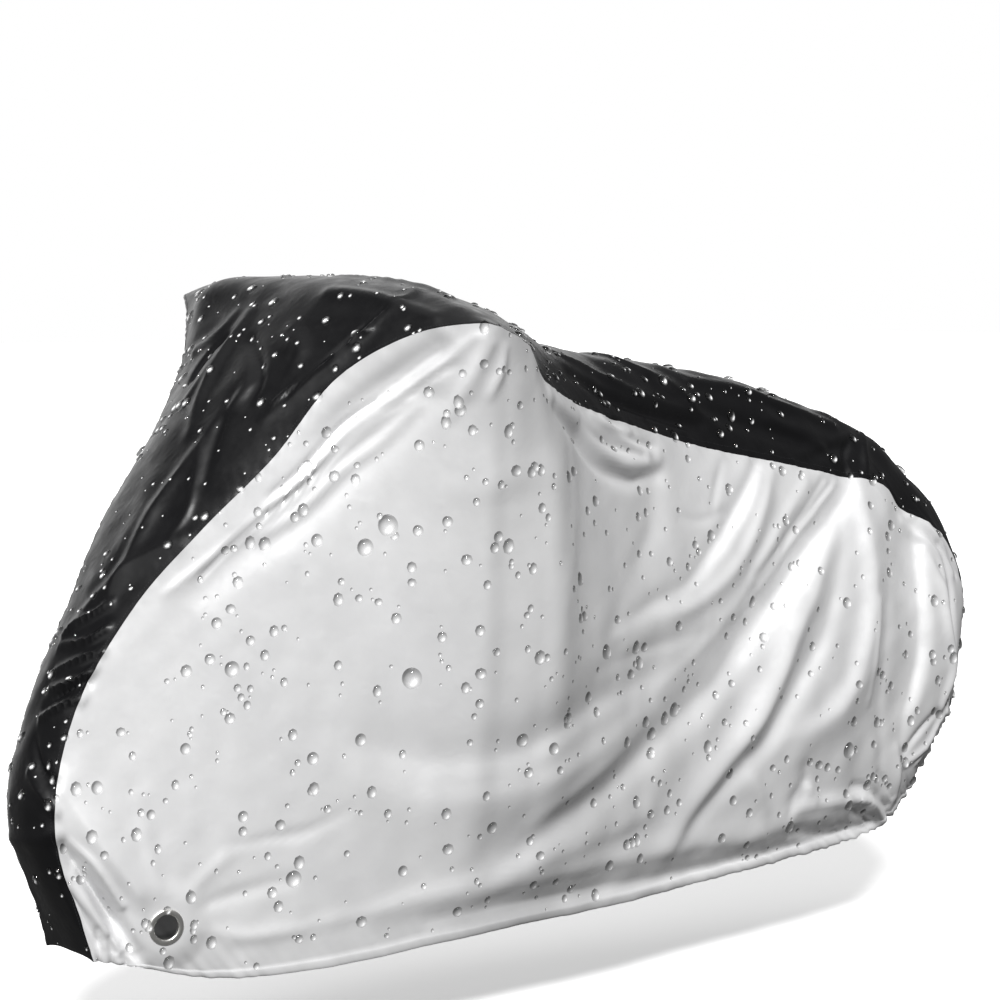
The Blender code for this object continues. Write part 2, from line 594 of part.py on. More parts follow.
def build():
    for thing in list(bpy.data.objects):
        bpy.data.objects.remove(thing, do_unlink=True)
    collection = bpy.data.collections.new(COLLECTION)
    bpy.context.scene.collection.children.link(collection)

    outer, inner, near_seam, far_seam = cloth_grid()
    last = outer.shape[1] - 1
    panels = (
        ("side_panel_near", 0, near_seam, (near_seam,), -1, SILVER),
        ("top_panel", near_seam, far_seam, (near_seam, far_seam), 0, BLACK),
        ("side_panel_far", far_seam, last, (far_seam,), 1, SILVER),
    )
    for name, first, final, seams, side, look in panels:
        material = principled(name, *look)
        faces = []
        for grid in (outer, inner):
            for seam in seams:
                grid = drawn_in(grid, seam, seam + 1 if seam == first else seam - 1)
            faces.append(grid[:, first : final + 1])
        cells = [(i, j) for i in range(len(outer) - 1) for j in range(final - first)]
        if side:
            window = eyelet_window(faces[0], side)
            low, high, under, over = window
            cells = [(i, j) for i, j in cells if not (low <= i < high and under <= j < over)]
        triangles = cell_triangles(faces[0], cells)
        sheet_object(name, faces[0].reshape(-1, 3), faces[1].reshape(-1, 3), triangles, material)
        if side:
            word = "near" if side < 0 else "far"
            strip = principled("eyelet_strip_" + word, *SILVER)
            eyelet_strip("eyelet_strip_" + word, faces[0], faces[1], window, side, strip)
            eyelet_ring("eyelet_" + word, side, principled("eyelet_" + word, *METAL))


if __name__ == "__main__":
    build()
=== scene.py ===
"""Fitted bicycle cover: silver side panels and a black top panel of coated taffeta, hung as over a bicycle,
with sewn seams, a cased hem, two lock eyelets and rain standing on it in beads.

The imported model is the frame: its origin is under the top panel, where the saddle carries the cover. Places
in the tables are over the ground, with X from the front wheel to the rear wheel, Y across and Z up, and
REST_POINT takes them to the frame.
"""

import math

import bmesh
import bpy
import numpy as np
from mathutils import Matrix, Vector


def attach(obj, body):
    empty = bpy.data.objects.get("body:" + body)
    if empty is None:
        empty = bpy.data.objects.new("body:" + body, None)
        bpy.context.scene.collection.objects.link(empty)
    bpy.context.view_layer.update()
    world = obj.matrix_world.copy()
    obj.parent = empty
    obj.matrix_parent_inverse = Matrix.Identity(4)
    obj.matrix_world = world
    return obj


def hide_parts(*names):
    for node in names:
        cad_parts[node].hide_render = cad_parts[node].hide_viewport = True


bl_info = {
    "name": "Bicycle cover",
    "version": (1, 0, 0),
    "blender": (4, 5, 0),
    "location": "View3D > Sidebar > Cover",
    "description": "Makes a fitted bicycle cover with its folds, seams, eyelets and raindrops",
    "category": "Object",
}

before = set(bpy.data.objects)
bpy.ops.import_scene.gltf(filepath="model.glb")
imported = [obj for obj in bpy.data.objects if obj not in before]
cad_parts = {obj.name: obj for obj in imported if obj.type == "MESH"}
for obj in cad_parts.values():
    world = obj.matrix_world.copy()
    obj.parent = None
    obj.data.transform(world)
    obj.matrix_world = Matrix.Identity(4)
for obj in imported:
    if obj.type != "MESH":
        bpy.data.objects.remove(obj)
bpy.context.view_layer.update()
BODY = "root"
REST_POINT = np.array((0.27, 0.0, 1.04725))

# The cover in cross-sections, front hem to rear hem: the middle of the top panel (spine), the near seam and
# the near hem, how far the far seam is lifted and carried forward, how far the side bellies out, and the
# powers that round the top panel on each side, from 1 (a ridge) to 4 (boxy). The first eleven are in mm.
SECTION_COLUMNS = (
    "spine_x", "spine_z", "seam_x", "seam_y", "seam_z", "far_lift", "far_ahead",
    "hem_x", "hem_y", "hem_z", "belly", "near_crown", "far_crown",
)
SECTIONS = np.array((
    (-863, 187, -859, 70, 180, 0, 0, -800, 94, 170, 0, 2.5, 2.5),
    (-938, 385, -922, 72, 380, 0, 0, -692, 112, 139, 10, 2.5, 2.5),
    (-899, 560, -887, 70, 556, 0, 0, -600, 133, 132, 15, 2.5, 2.5),
    (-809, 725, -797, 90, 708, 0, 5, -520, 150, 132, 20, 2.5, 2.5),
    (-720, 860, -706, 135, 822, 0, 12, -455, 163, 136, 25, 2.5, 2.5),
    (-618, 1000, -604, 175, 928, 5, 8, -400, 175, 141, 30, 2.5, 2.5),
    (-530, 1105, -517, 215, 1045, 15, 6, -350, 183, 147, 30, 2.4, 3),
    (-460, 1178, -444, 305, 1111, 30, 14, -305, 190, 150, 30, 2.4, 4),
    (-400, 1198, -380, 388, 1129, 38, 30, -265, 196, 153, 30, 2.1, 4),
    (-340, 1191, -325, 390, 1117, 40, 34, -225, 200, 156, 30, 2.6, 3.5),
    (-255, 1166, -262, 358, 1090, 38, 22, -180, 200, 158, 50, 3.6, 3),
    (-165, 1138, -200, 318, 1034, 30, 8, -130, 200, 160, 68, 4, 2.8),
    (-55, 1098, -90, 258, 998, 20, 0, -40, 198, 161, 58, 3.6, 2.6),
    (90, 1072, 85, 190, 955, 10, 0, 85, 188, 162, 46, 3, 2.6),
    (270, 1048, 275, 142, 912, 0, 0, 240, 165, 164, 50, 3, 3),
    (450, 1018, 465, 128, 876, 0, 0, 400, 148, 168, 55, 3, 3),
    (640, 966, 650, 122, 842, 0, 0, 540, 135, 173, 55, 2.6, 2.6),
    (780, 918, 750, 120, 819, 0, 0, 640, 122, 178, 50, 2.4, 2.4),
    (850, 872, 803, 119, 776, 0, 0, 705, 113, 184, 48, 2.4, 2.4),
    (924, 804, 868, 119, 746, 0, 0, 772, 106, 198, 45, 2.4, 2.4),
    (984, 728, 922, 117, 705, 0, 0, 826, 100, 234, 40, 2.4, 2.4),
    (1014, 620, 965, 112, 620, 0, 0, 862, 97, 277, 30, 2.4, 2.4),
    (1008, 500, 972, 102, 505, 0, 0, 896, 94, 314, 15, 2.4, 2.4),
    (984, 385, 960, 86, 376, 0, 0, 922, 88, 345, 0, 2.4, 2.4),
)) / ((1000,) * 11 + (1, 1))
LAST = len(SECTIONS) - 1

# Folds of the cloth: how far each spreads to the left and to the right of its path (mm), how sharp it is
# (0 rounded, 1 creased), and its path as (section number, place, height in mm). A height below zero is a
# hollow. On a side panel the place runs from 0 at the seam to 100 at the hem. On the top panel it runs from
# -100 at the near seam to 100 at the far one. The first two tables are the folds of the solids, the deepest
# of them a little softer here.
SIDE_FOLDS = (
    # Taut crease from the grip to the front wheel
    (12, 8, 0.8, (7.9, 2, 4), (7.1, 7, 5), (6.05, 10, 5.5), (4.95, 7, 5.5), (4.1, 6, 5), (3.4, 4, 3)),
    # Hollow between that crease and the seam
    (18, 18, 0, (7.35, 3, -7), (6.8, 5, -11), (6.2, 6, -8), (5.65, 6, -4)),
    # Long hollow inside the crease
    (30, 22, 0, (7.1, 10, -5), (6.35, 13, -7), (5.6, 13, -7), (4.55, 10, -6), (3.75, 9, -4)),
    # Edge below the grip
    (36, 24, 0.1, (11.3, 1, 1), (11.6, 8, 2.5), (11.5, 19, 3.5), (11.05, 35, 3), (10.7, 48, 2),
     (10.4, 59, 1)),
    # Hollow behind it
    (26, 22, 0, (13.3, 12, -1), (13.1, 23, -3), (12.65, 34, -2), (12.25, 45, -1)),
    # Sagging flap under the seam, lip
    (24, 12, 0, (11.05, 2, 5), (12, 4, 9), (12.45, 8, 10), (12.85, 9, 10), (13.35, 6, 6)),
    # Under the lip
    (14, 14, 0, (11.15, 4, -4), (11.85, 7, -8), (12.3, 11, -9), (12.8, 12, -8), (13.35, 9, -4)),
    # Line of the ridge falling from the seam
    (11, 16, 0.1, (14.75, 2, -5), (14.5, 11, -7), (14.1, 22, -6), (13.7, 31, -4), (13.05, 37, -3),
     (12.4, 42, -1)),
    # Ridge falling from the seam
    (18, 14, 0.1, (14.95, 3, 4), (14.75, 12, 7), (14.4, 25, 7), (13.9, 34, 5), (13.3, 40, 4),
     (12.65, 45, 2)),
    # Second ridge falling from the seam
    (14, 14, 0.1, (15.4, 4, 3), (15.1, 13, 5), (14.8, 22, 6), (14.5, 32, 5), (14.15, 39, 3)),
    # Deep valley of the long diagonal fold
    (28, 60, 0.1, (16, 4, -2.5), (15.7, 13, -4.1), (15.5, 18, -5.7), (15.25, 24, -7.4), (14.9, 33, -9.8),
     (14.45, 43, -11.5), (14.05, 53, -13.1), (13.6, 60, -11.8), (12.85, 70, -11.1), (12.15, 76, -9.8),
     (10.95, 82, -7), (8.5, 90, -3.5), (6.6, 92, -1.4)),
    # Crest of the long diagonal fold
    (24, 30, 0.1, (15.7, 16, 3), (15.55, 23, 7), (15.35, 33, 11), (15.1, 43, 14), (14.85, 55, 16),
     (14.6, 64, 17), (14.25, 72, 15), (13.9, 80, 12), (13.55, 89, 6)),
    # Foot of the long diagonal fold
    (22, 30, 0, (13.1, 81, 4.2), (12.3, 84, 5.4), (11.25, 86, 5.4), (9.4, 90, 4.2), (6.95, 92, 2.4),
     (5, 91, 1.2)),
    # Valley between the long fold and the corner fold
    (20, 33, 0, (15.85, 9, -2), (15.8, 20, -4), (15.7, 31, -7), (15.55, 43, -10), (15.3, 52, -11),
     (15.05, 61, -10), (14.8, 69, -8), (14.45, 74, -6), (14.05, 81, -5), (13.65, 89, -3)),
    # Fold falling from the saddle-bag corner
    (44, 24, 0.05, (16.25, 1, 9), (16.35, 16, 14), (16.45, 29, 16), (16.4, 40, 17), (16.3, 50, 16),
     (16.1, 58, 14), (15.6, 65, 9), (15.1, 68, 4)),
    # Deep valley behind the corner fold
    (18, 62, 0, (18.2, 1, -6.8), (18.4, 9, -11.9), (18.55, 20, -16.1), (18.75, 35, -18.7),
     (18.8, 45, -18.7), (18.65, 55, -15.3), (18.45, 62, -9.3), (18.5, 72, -4.2)),
    # Ridge over the rear tyre
    (9, 12, 0, (18.75, 10, 4), (19.5, 20, 8), (20.05, 33, 10), (20.8, 45, 9), (20.75, 63, 5)),
    # Last hollow behind it
    (9, 9, 0, (19.4, 5, -3), (20, 14, -5), (20.3, 27, -6), (20.75, 36, -4)),
    # Low swag in the middle, crest
    (50, 26, 0, (13.8, 50, 2), (13.15, 58, 5), (12.4, 65, 7), (11.45, 70, 8), (9.8, 75, 6), (7.8, 76, 5),
     (6.4, 74, 4), (5.35, 67, 3), (4.55, 59, 1)),
    # Low swag in the middle, hollow above
    (20, 44, 0, (13.15, 51, -3), (12.25, 56, -6), (11.05, 62, -7), (9.55, 68, -6), (7.75, 69, -5),
     (6.5, 67, -4), (5.5, 60, -3), (4.7, 53, -1)),
    # Cloth standing out above the hem
    (17, 30, 0, (17.8, 90, 3), (15.65, 89, 5), (14.8, 91, 6), (14.1, 90, 6), (13.15, 90, 6), (11.55, 90, 6),
     (8.55, 92, 4), (5.6, 92, 2)),
    # Tuck just above the hem
    (9, 18, 0, (18.2, 98, -4), (15.8, 97, -6), (14.1, 97, -7), (12.4, 96, -6), (9.55, 96, -4),
     (6.6, 96, -2)),
    # Dented facet above the rear hem
    (20, 26, 0.2, (14.5, 73, 4), (14.75, 78, 8), (14.95, 84, 5)),
    # Hollow of that facet
    (11, 22, 0.1, (15.55, 76, -4), (15.6, 81, -8), (15.4, 86, -5)),
    # Ridge from the hem corner to the eyelet
    (38, 18, 0.2, (1.4, 4, 5), (1.3, 21, 13), (1.2, 46, 15), (1, 62, 9)),
    # Pulled-in valley at the front corner
    (14, 16, 0, (0.95, 5, -10), (0.8, 20, -20), (0.55, 43, -20), (0.45, 65, -12)),
)
TOP_FOLDS = (
    # Bright crease across the front strip
    (14, 20, 0.2, (2.7, 15, 5), (3.05, -31, 8), (3.45, -64, 8), (3.8, -90, 5)),
    # Soft edge in front of the head tube
    (30, 30, 0, (4.15, 8, 3), (3.7, -17, 6), (3.1, 3, 4)),
    # Taut crease in front of the grip
    (12, 12, 0.4, (8.3, -57, 4), (6.4, -88, 6), (5.8, -88, 6), (5.2, -76, 3)),
    # Bar end under the far side
    (38, 38, 0, (7.05, 25, 4), (7.05, 57, 12), (6.9, 76, 13), (6.3, 79, 7)),
    # Creases at the far bar
    (12, 12, 0, (6.4, 36, 3), (6.05, 47, 6), (5.9, 73, 5)),
    # Second crease at the far bar
    (12, 12, 0, (5.75, 31, 3), (5.4, 27, 6), (5.1, 33, 4)),
    # Ridge from the grip to the saddle
    (14, 12, 0.3, (12.05, -62, 3), (12.7, -71, 7), (13.4, -80, 8), (14.05, -83, 4)),
    # Trough inside that ridge
    (10, 20, 0, (12.1, -82, -6), (12.65, -85, -12), (13.35, -90, -12), (14.1, -90, -6)),
    # Crease at the saddle-bag corner
    (12, 12, 0.3, (16.85, -44, 5), (16.6, -80, 8), (16.45, -95, 6)),
    # Crease in front of that corner
    (10, 14, 0.2, (15.25, -98, 3), (15.75, -86, 6), (16.45, -62, 4)),
)
FINE_SIDE_FOLDS = (
    # Cloth eased below the grip
    (58, 44, 0, (8.35, 9, -4), (8.1, 18, -10), (8, 32, -11), (7.95, 49, -9), (8, 64, -4)),
    # Slack cloth behind it
    (60, 60, 0, (10.1, 6, 4), (11, 9, 9), (10.8, 25, 10), (10.55, 40, 9), (10.4, 54, 6), (10.15, 65, 2)),
    # Streaks under the grip
    (7, 8, 0.3, (8.15, 2, 4), (7.75, 9, 8), (7.45, 14, 3)),
    (7, 7, 0.3, (8.3, 3, 4), (8, 7, 6), (7.8, 11, 3)),
    (9, 7, 0.3, (8.85, 3, 3), (8.65, 7, 6), (8.25, 11, 3)),
    # Thin lines beside the taut crease
    (5, 6, 0.6, (7.55, 6, -4), (6.75, 9, -6), (5.7, 10, -6), (4.65, 7, -6), (3.8, 7, -4)),
    (5, 6, 0.6, (7.35, 4, -4), (6.55, 7, -6), (5.55, 7, -6), (4.85, 5, -4)),
    # Valley filled under the swag
    (18, 20, 0, (13.15, 60, 1), (12.65, 66, 3), (12, 72, 5), (11.25, 76, 4), (10.25, 81, 2)),
    # Deep wedge in front of the corner fold, and the shoulder in front of it
    (16, 50, 0, (16, 4, -6), (15.7, 12, -12), (15.4, 20, -16), (15.1, 29, -14), (14.75, 38, -8),
     (14.45, 46, -3)),
    (56, 18, 0, (14.85, 3, 3), (14.6, 12, 7), (14.25, 23, 7), (13.75, 33, 3)),
    # Soft pleat under the crease
    (10, 12, 0.1, (7, 11, 3), (6.3, 14, 6), (5.45, 13, 6), (4.6, 10, 4)),
    # Puckers of the flap, and the wedge under them
    (7, 9, 0.2, (12.3, 1, 3), (12.55, 2, 5), (12.95, 2, 3)),
    (6, 8, 0.2, (12.7, 0, -3), (13, 3, -5), (13.35, 3, -2)),
    (7, 8, 0.2, (12.5, 1, 2), (12.8, 4, 5), (13.2, 5, 3)),
    (12, 10, 0.1, (12, 4, -4), (12.5, 6, -8), (13.1, 6, -5)),
    # Crumpled cloth behind the flap
    (9, 9, 0, (14.3, 3, -1.5), (14.2, 8, -3), (14.1, 13, -2)),
    (8, 9, 0, (13.6, 17, -1), (13.9, 17, -2), (14.25, 14, -2)),
    # Fan of streaks below the ridges
    (10, 12, 0.1, (13.9, 35, 1), (13.2, 39, 2.5), (12.35, 45, 1)),
    (10, 12, 0.1, (13.85, 42, -1), (13.05, 46, -2.5), (12.05, 51, -1)),
    (10, 12, 0.1, (14.35, 37, 1), (13.8, 46, 2), (13.15, 55, 1)),
    # Streaks in the deep valley
    (8, 9, 0.3, (15.85, 2, 3), (15.3, 16, 5), (14.85, 28, 4), (14.3, 39, 2)),
    (7, 8, 0.3, (15.65, 2, -3), (15.2, 15, -5), (14.65, 28, -4)),
    (6, 7, 0.3, (15.75, 3, -3), (15.4, 12, -4), (15.05, 21, -3)),
    # Thin ridge running on from the foot
    (12, 12, 0, (8.5, 90, 1), (6.95, 91, 2), (5, 90, 2), (3.1, 88, 1.5), (1.85, 85, 1)),
    # Long faint crease low in front
    (9, 9, 0.3, (2.7, 61, -2), (3.75, 67, -3), (4.8, 68, -1)),
    # Crumples over the rear tyre
    (8, 10, 0.1, (17.95, 4, 3), (18.85, 7, 6), (19.5, 12, 5), (19.7, 23, 2)),
    (9, 11, 0.1, (18.3, 1, 3), (19.35, 3, 6), (20.25, 8, 4)),
    (7, 8, 0.1, (18.55, 1, -3), (19.45, 5, -5), (20.45, 6, -3)),
    # Wedge above the rear hem, the ridge over it, and a raised patch in the dented facet
    (18, 9, 0, (15.6, 93, -4), (16.5, 96, -6), (18.2, 98, -5)),
    (14, 12, 0.1, (15.35, 86, 3), (16.2, 86, 6), (17.3, 88, 5)),
    (9, 9, 0.1, (15.5, 84, 3), (15.65, 81, 5), (15.85, 84, 3)),
    # Gathered hook at the rear hem, and the hollows in and over it
    (8, 9, 0.2, (16.75, 86, 5), (17.85, 89, 9), (18.85, 98, 7)),
    (7, 7, 0, (17.1, 90, -4), (17.85, 94, -7), (18.55, 98, -4)),
    (7, 8, 0, (16.8, 83, -4), (17.65, 85, -6), (18.8, 93, -4)),
    # Pointed tuck at the rear hem, and the line in it
    (6, 20, 0.2, (18.5, 74, 5), (18.85, 83, 10), (19.1, 91, 6)),
    (5, 5, 0.2, (17.85, 80, -3), (18.35, 84, -4), (18.85, 90, -3)),
    # Gathers at the rear tyre
    (7, 9, 0.2, (21.6, 64, 5), (20.4, 77, 8), (19.05, 80, 5)),
    (7, 8, 0.1, (20.45, 66, -4), (19.3, 70, -7), (18.9, 75, -4)),
    (6, 6, 0.1, (21.55, 56, 3), (21.65, 76, 5), (19.75, 83, 4)),
    # Front corner: a ridge, the sharp bottom of the pulled-in valley, a second valley and a crease
    (7, 8, 0.2, (0.8, 11, 6), (0.5, 27, 10), (0.25, 51, 6)),
    (7, 8, 0.2, (0.95, 5, -6), (0.8, 19, -11), (0.55, 40, -11), (0.45, 59, -6)),
    (8, 8, 0, (0.6, -7, -6), (0.4, 5, -10), (0.2, 17, -6)),
    (6, 7, 0.3, (1.05, 9, 4), (1.05, 24, 7), (0.9, 43, 6)),
    # Pleats in the front hem
    (5, 5, 0, (0.35, 22, -3), (0, 14, -5)),
    (5, 5, 0, (0.35, 36, -3), (0, 42, -5)),
    (5, 5, 0, (0.35, 51, -3), (0, 73, -5)),
    # Pulls round the eyelet, and the dip below them
    (12, 12, 0.1, (1.55, 64, 1.5), (2.3, 62, 2.5), (3, 62, 1)),
    (12, 12, 0.1, (1.4, 73, 1.5), (2.05, 84, 2.5), (3.1, 89, 1)),
    (12, 14, 0.1, (1.45, 56, 2), (1.7, 43, 2.5), (2, 31, 1)),
    (12, 12, 0, (1.6, 69, -2), (2.35, 72, -3), (3.3, 76, -2)),
    # Soft dip in the front panel, and the swell under the grip
    (30, 30, 0, (4.8, 25, -2), (5, 39, -3), (4.65, 48, -2)),
    (40, 26, 0, (7.35, 25, 1), (8.5, 25, 3), (10.6, 18, 2)),
    # Dip and streak down the corner fold
    (16, 18, 0, (16.95, 20, -1), (17, 42, -2), (17.15, 59, -3), (17.6, 70, -4), (18.2, 86, -3)),
    (8, 9, 0.1, (16.55, 32, 3), (16.6, 45, 4), (16.7, 59, 2)),
)
FINE_TOP_FOLDS = (
    # Wrinkles over the front wheel
    (6, 7, 0.4, (2.5, 31, 5), (2.6, -53, 11), (2.75, -83, 7)),
    (6, 7, 0.4, (2.3, 3, 5), (2.45, -62, 11), (2.55, -95, 7)),
    (6, 7, 0.4, (2.15, -4, 5), (2.25, -69, 11), (2.4, -100, 7)),
    (6, 7, 0.4, (1.9, -6, 5), (2.05, -68, 10), (2.15, -101, 6)),
    (6, 7, 0.4, (2.6, 38, 5), (2.8, -31, 10), (2.95, -63, 5)),
    (6, 6, 0.4, (2, -7, -4), (2.15, -53, -8), (2.3, -101, -5)),
    # Lines beside the taut crease
    (5, 6, 0.5, (7.55, -71, -3), (6.25, -85, -7), (5.5, -80, -5)),
    (5, 6, 0.5, (6.7, -86, 5), (6, -86, 7), (5.35, -74, 5)),
    # Crumple at the far bar
    (8, 8, 0.1, (6, 30, -5), (5.65, 46, -10), (5.4, 49, -5)),
    # Lines down the head tube
    (8, 8, 0.2, (4.65, -33, 2), (4.1, -72, 5), (3.8, -78, 3)),
    (10, 10, 0.1, (5.2, -30, -2), (4.7, -48, -5), (4.35, -67, -3)),
    # Crease under the ridge
    (6, 7, 0.3, (12.8, -92, 3), (13.4, -94, 7), (13.9, -95, 4)),
    # Dimples on the bar
    (16, 16, 0, (6.2, -38, 2), (6, -61, 5), (5.7, -69, 2)),
    (12, 14, 0, (5.95, -3, -5), (5.55, -42, -9), (5.2, -53, -4)),
    # Sheen ridge along the bars
    (14, 16, 0.1, (7.05, -36, 5), (7.3, -66, 9), (7.5, -92, 5)),
    # Second crease at the saddle-bag corner, and the facet in front of it
    (7, 8, 0.3, (16.4, -66, -4), (16.1, -88, -7), (16.05, -96, -5)),
    (12, 14, 0.1, (15.35, -98, -4), (15.7, -89, -9), (16.25, -75, -5)),
    # Wrinkles low on the front strip
    (7, 8, 0.1, (1.45, -17, 4), (1.3, -76, 8), (1.2, -101, 5)),
    (7, 8, 0.1, (1.7, -9, -4), (1.5, -53, -9), (1.4, -98, -5)),
    # Ridges down from the far bar
    (14, 16, 0.2, (6.4, 19, 5), (5.75, 20, 9), (5.15, 12, 8), (4.7, -7, 4)),
    (12, 14, 0.2, (5.55, -45, 2), (5.15, -40, 4), (4.75, -33, 2)),
    # Facet over the head tube
    (16, 14, 0.1, (4.55, -33, 4), (4.05, -31, 8), (3.4, -42, 7), (2.95, -51, 4)),
    # Fold under the bars
    (9, 12, 0.3, (8.3, -11, 3), (8.8, -39, 7), (8.95, -67, 5)),
    # Long ridge and hollow along the saddle
    (16, 12, 0.2, (14.25, -55, 4), (15.2, -56, 8), (16.15, -57, 6)),
    (14, 20, 0, (14.2, -80, -5), (15.05, -84, -9), (15.85, -83, -6)),
    # Facets behind the grip and above the rear corner
    (26, 10, 0.2, (13.2, -20, 3), (13.65, -53, 8), (14.1, -80, 8), (14.4, -91, 3)),
    (18, 10, 0.2, (15.15, -77, 3), (15.65, -82, 8), (16, -92, 4)),
    # Corner of the front strip
    (14, 14, 0.1, (0.85, 100, 4), (0.9, -34, 6), (1, -101, 3)),
)
FAR_SHIFT = 0.45  # the far side's folds are those of the near side, this many sections further back
FAR_SHARE = 0.6  # and this much as high

FOLD_REACH = 0.0025  # metres from its path, for each mm of its spread, over which a fold is worked out
FOLD_STEPS = 10  # from one point of its path to the next
CREASE_FADE = 1.7  # how fast a creased fold falls away from its path, beside a rounded one
NORMAL_STEPS = (0.3, 0.08)  # along and across, wide enough to carry the normal gently over the seams

# Crinkles of the whole cover: few of them run level, they wander, and SLACK is by section number
CRINKLE_SEED = 11
CRINKLE_WAVES = 36
CRINKLE_LENGTH = (0.045, 0.15)
CRINKLE_HEIGHT = 0.0012
CRINKLE_WAY = (1, 1, 0.45)
CRINKLE_WANDER = (0.4, 1.2)
WANDER_LENGTH = 0.45
CRINKLE_SLACK = ((0, 0.9), (3, 0.6), (6, 0.35), (11, 0.4), (13, 1.0), (17, 1.2), (20, 1.0), (23, 0.9))

# Puckers of the sewn seams, and gathers of the elastic hem: height, length, reach and random seed. Each is
# made of waves of these shares of its length, and runs on upward as well as along the cover.
RIPPLE_PARTS = (0.6, 0.85, 1.3, 2.1)
RIPPLE_UPWARD = 0.8
PUCKER = (0.0009, 0.021, 0.014, 3)
GATHER = (0.0019, 0.036, 0.05, 5)
GATHER_SHARE = ((0, 1.3), (1.5, 0.9), (2.5, 0.15), (13, 0.15), (16, 0.9), (19, 2.0), (23, 2.0))

# Eyelets: where they sit, the hole in the cloth, and where the cloth round them is flat and free again
EYELET_PLACE = (1.15, 1.66)  # section number and distance from the spine, 1 at a seam and 2 at a hem
CLOTH_HOLE = 0.0226
FLAT_RADIUS = 0.031
BLEND_RADIUS = 0.080
PRESS_DEPTH = 0.06

CLOTH_UV = "cloth"  # the map that holds the cloth's own metres

# The mesh: its rows in the casing of the hem, how much closer the rows of a side stand near its seam, the
# power that draws the rows of the top towards the seams, and the angle from which an edge is sharp
CASING_ROWS = (0.9, 0.72, 0.5, 0.28, 0.1, 0.0)
ROWS_TO_SEAM = 0.5
TOP_ROWS_TO_SEAMS = 0.8
WIDEST_CASING = 0.45  # of a side's drop
SHARP_ANGLE = math.radians(60)
STATION_STEPS = 40  # from one section to the next, where the lines of the mesh are spaced out

# Beads of rain listed one by one: section number, place across (-200 at the near hem, -100 at the near seam,
# 0 on the spine and 100 at the far seam), and size in mm
LARGE_BEADS = (
    (6.35, -127, 30), (5.95, -128, 24), (5.35, -107, 24), (5.05, -112, 15), (5.25, -119, 18),
    (7.6, -113, 18), (12.15, -118, 16), (12.2, -147, 22), (11.15, -136, 10), (6.45, -153, 30),
    (3.7, -127, 22), (3.5, -122, 16), (3.75, -117, 16), (13.5, -159, 22), (13.15, -164, 20),
    (16.35, -172, 26), (15.9, -133, 18), (17.15, -110, 18), (11.25, -160, 18), (9.7, -166, 20),
    (10.8, -166, 18), (5.25, -157, 18), (2.75, -133, 16), (4.35, -154, 18), (6.95, -117, 16),
    (7.3, -130, 16), (6.8, -130, 16), (8.6, -133, 16), (3.35, -176, 24), (8.8, -181, 18), (5.8, -185, 16),
    (7.65, -195, 16), (3, -156, 16), (2.9, -159, 14), (2, -137, 14), (1.7, -116, 18), (14.45, -181, 16),
    (12.8, -187, 16), (1.75, -164, 18), (8.55, -107, 10), (9.35, -111, 12), (13.85, -124, 12),
    (11.85, -156, 16), (11.25, -161, 16), (8, -160, 14), (19.3, -143, 16), (16.4, -107, 14),
    (14.3, -138, 12), (15.6, -174, 14), (4.05, -125, 14), (4.1, -153, 10), (4.5, -176, 10), (5.65, 32, 10),
    (6.05, -58, 10), (6.35, -7, 9), (7.3, -82, 9), (7.15, -99, 9), (6.1, 12, 8), (6.4, -38, 10),
    (5.1, -31, 10), (4.05, -87, 12), (3.2, 3, 9), (2.95, -18, 12), (3.05, -39, 10), (4.15, -3, 8),
    (4.3, -51, 8), (4.35, -70, 8), (5, -72, 8), (6.05, -46, 9), (7.05, -54, 9), (15, -96, 10),
    (14.35, -85, 12), (13.6, -77, 9), (13.3, -59, 9), (12.85, -94, 9), (16.9, -95, 9), (18.4, -83, 8),
    (6.8, 79, 8), (13.1, -103, 8), (11.8, -87, 8),
)

# Rings of a bead, foot to top: radius and height as shares of its own half width, how much painted shade it
# has there all round, how much more painted shade on its upper left, which faces the key light, and how much
# painted highlight of white on its lower right. It hangs over downhill and is fuller there; its painted shade
# is thinner on its lower right.
BEAD_RINGS = (
    (0.94, -0.16, 0.75, 0.25, 0.0),
    (1.04, 0.10, 0.6, 0.4, 0.0),
    (0.86, 0.46, 0.22, 0.7, 0.0),
    (0.58, 0.64, 0.08, 0.4, 0.4),
    (0.30, 0.70, 0.0, 0.05, 1.3),
    (0.0, 0.72, 0.0, 0.0, 0.35),
)
BEAD_HANG = 0.12
BEAD_TOP_HANG = 0.08
BEAD_FULLER = 0.35
# How much painted shade is taken off a bead's lower right, away from the key light
BEAD_LESS_PAINTED_SHADE = 0.25

# ---------------------------------------------------------------- the shape


def smooth_through(rows, places):
    """Values on a smooth curve (Catmull-Rom) through the rows of a table, at the places counted in rows."""
    rows = np.asarray(rows, float)
    last = len(rows) - 1
    places = np.clip(np.asarray(places, float), 0, last)
    k = np.minimum(places.astype(int), last - 1)
    f = (places - k)[..., None]
    a, b = rows[k], rows[k + 1]
    before = np.where(k[..., None] > 0, rows[np.maximum(k - 1, 0)], 2 * a - b)
    after = np.where(k[..., None] + 2 <= last, rows[np.minimum(k + 2, last)], 2 * b - a)
    bent = (2 * before - 5 * a + 4 * b - after) * f**2
    return 0.5 * (2 * a + (b - before) * f + bent + (3 * a - before - 3 * b + after) * f**3)


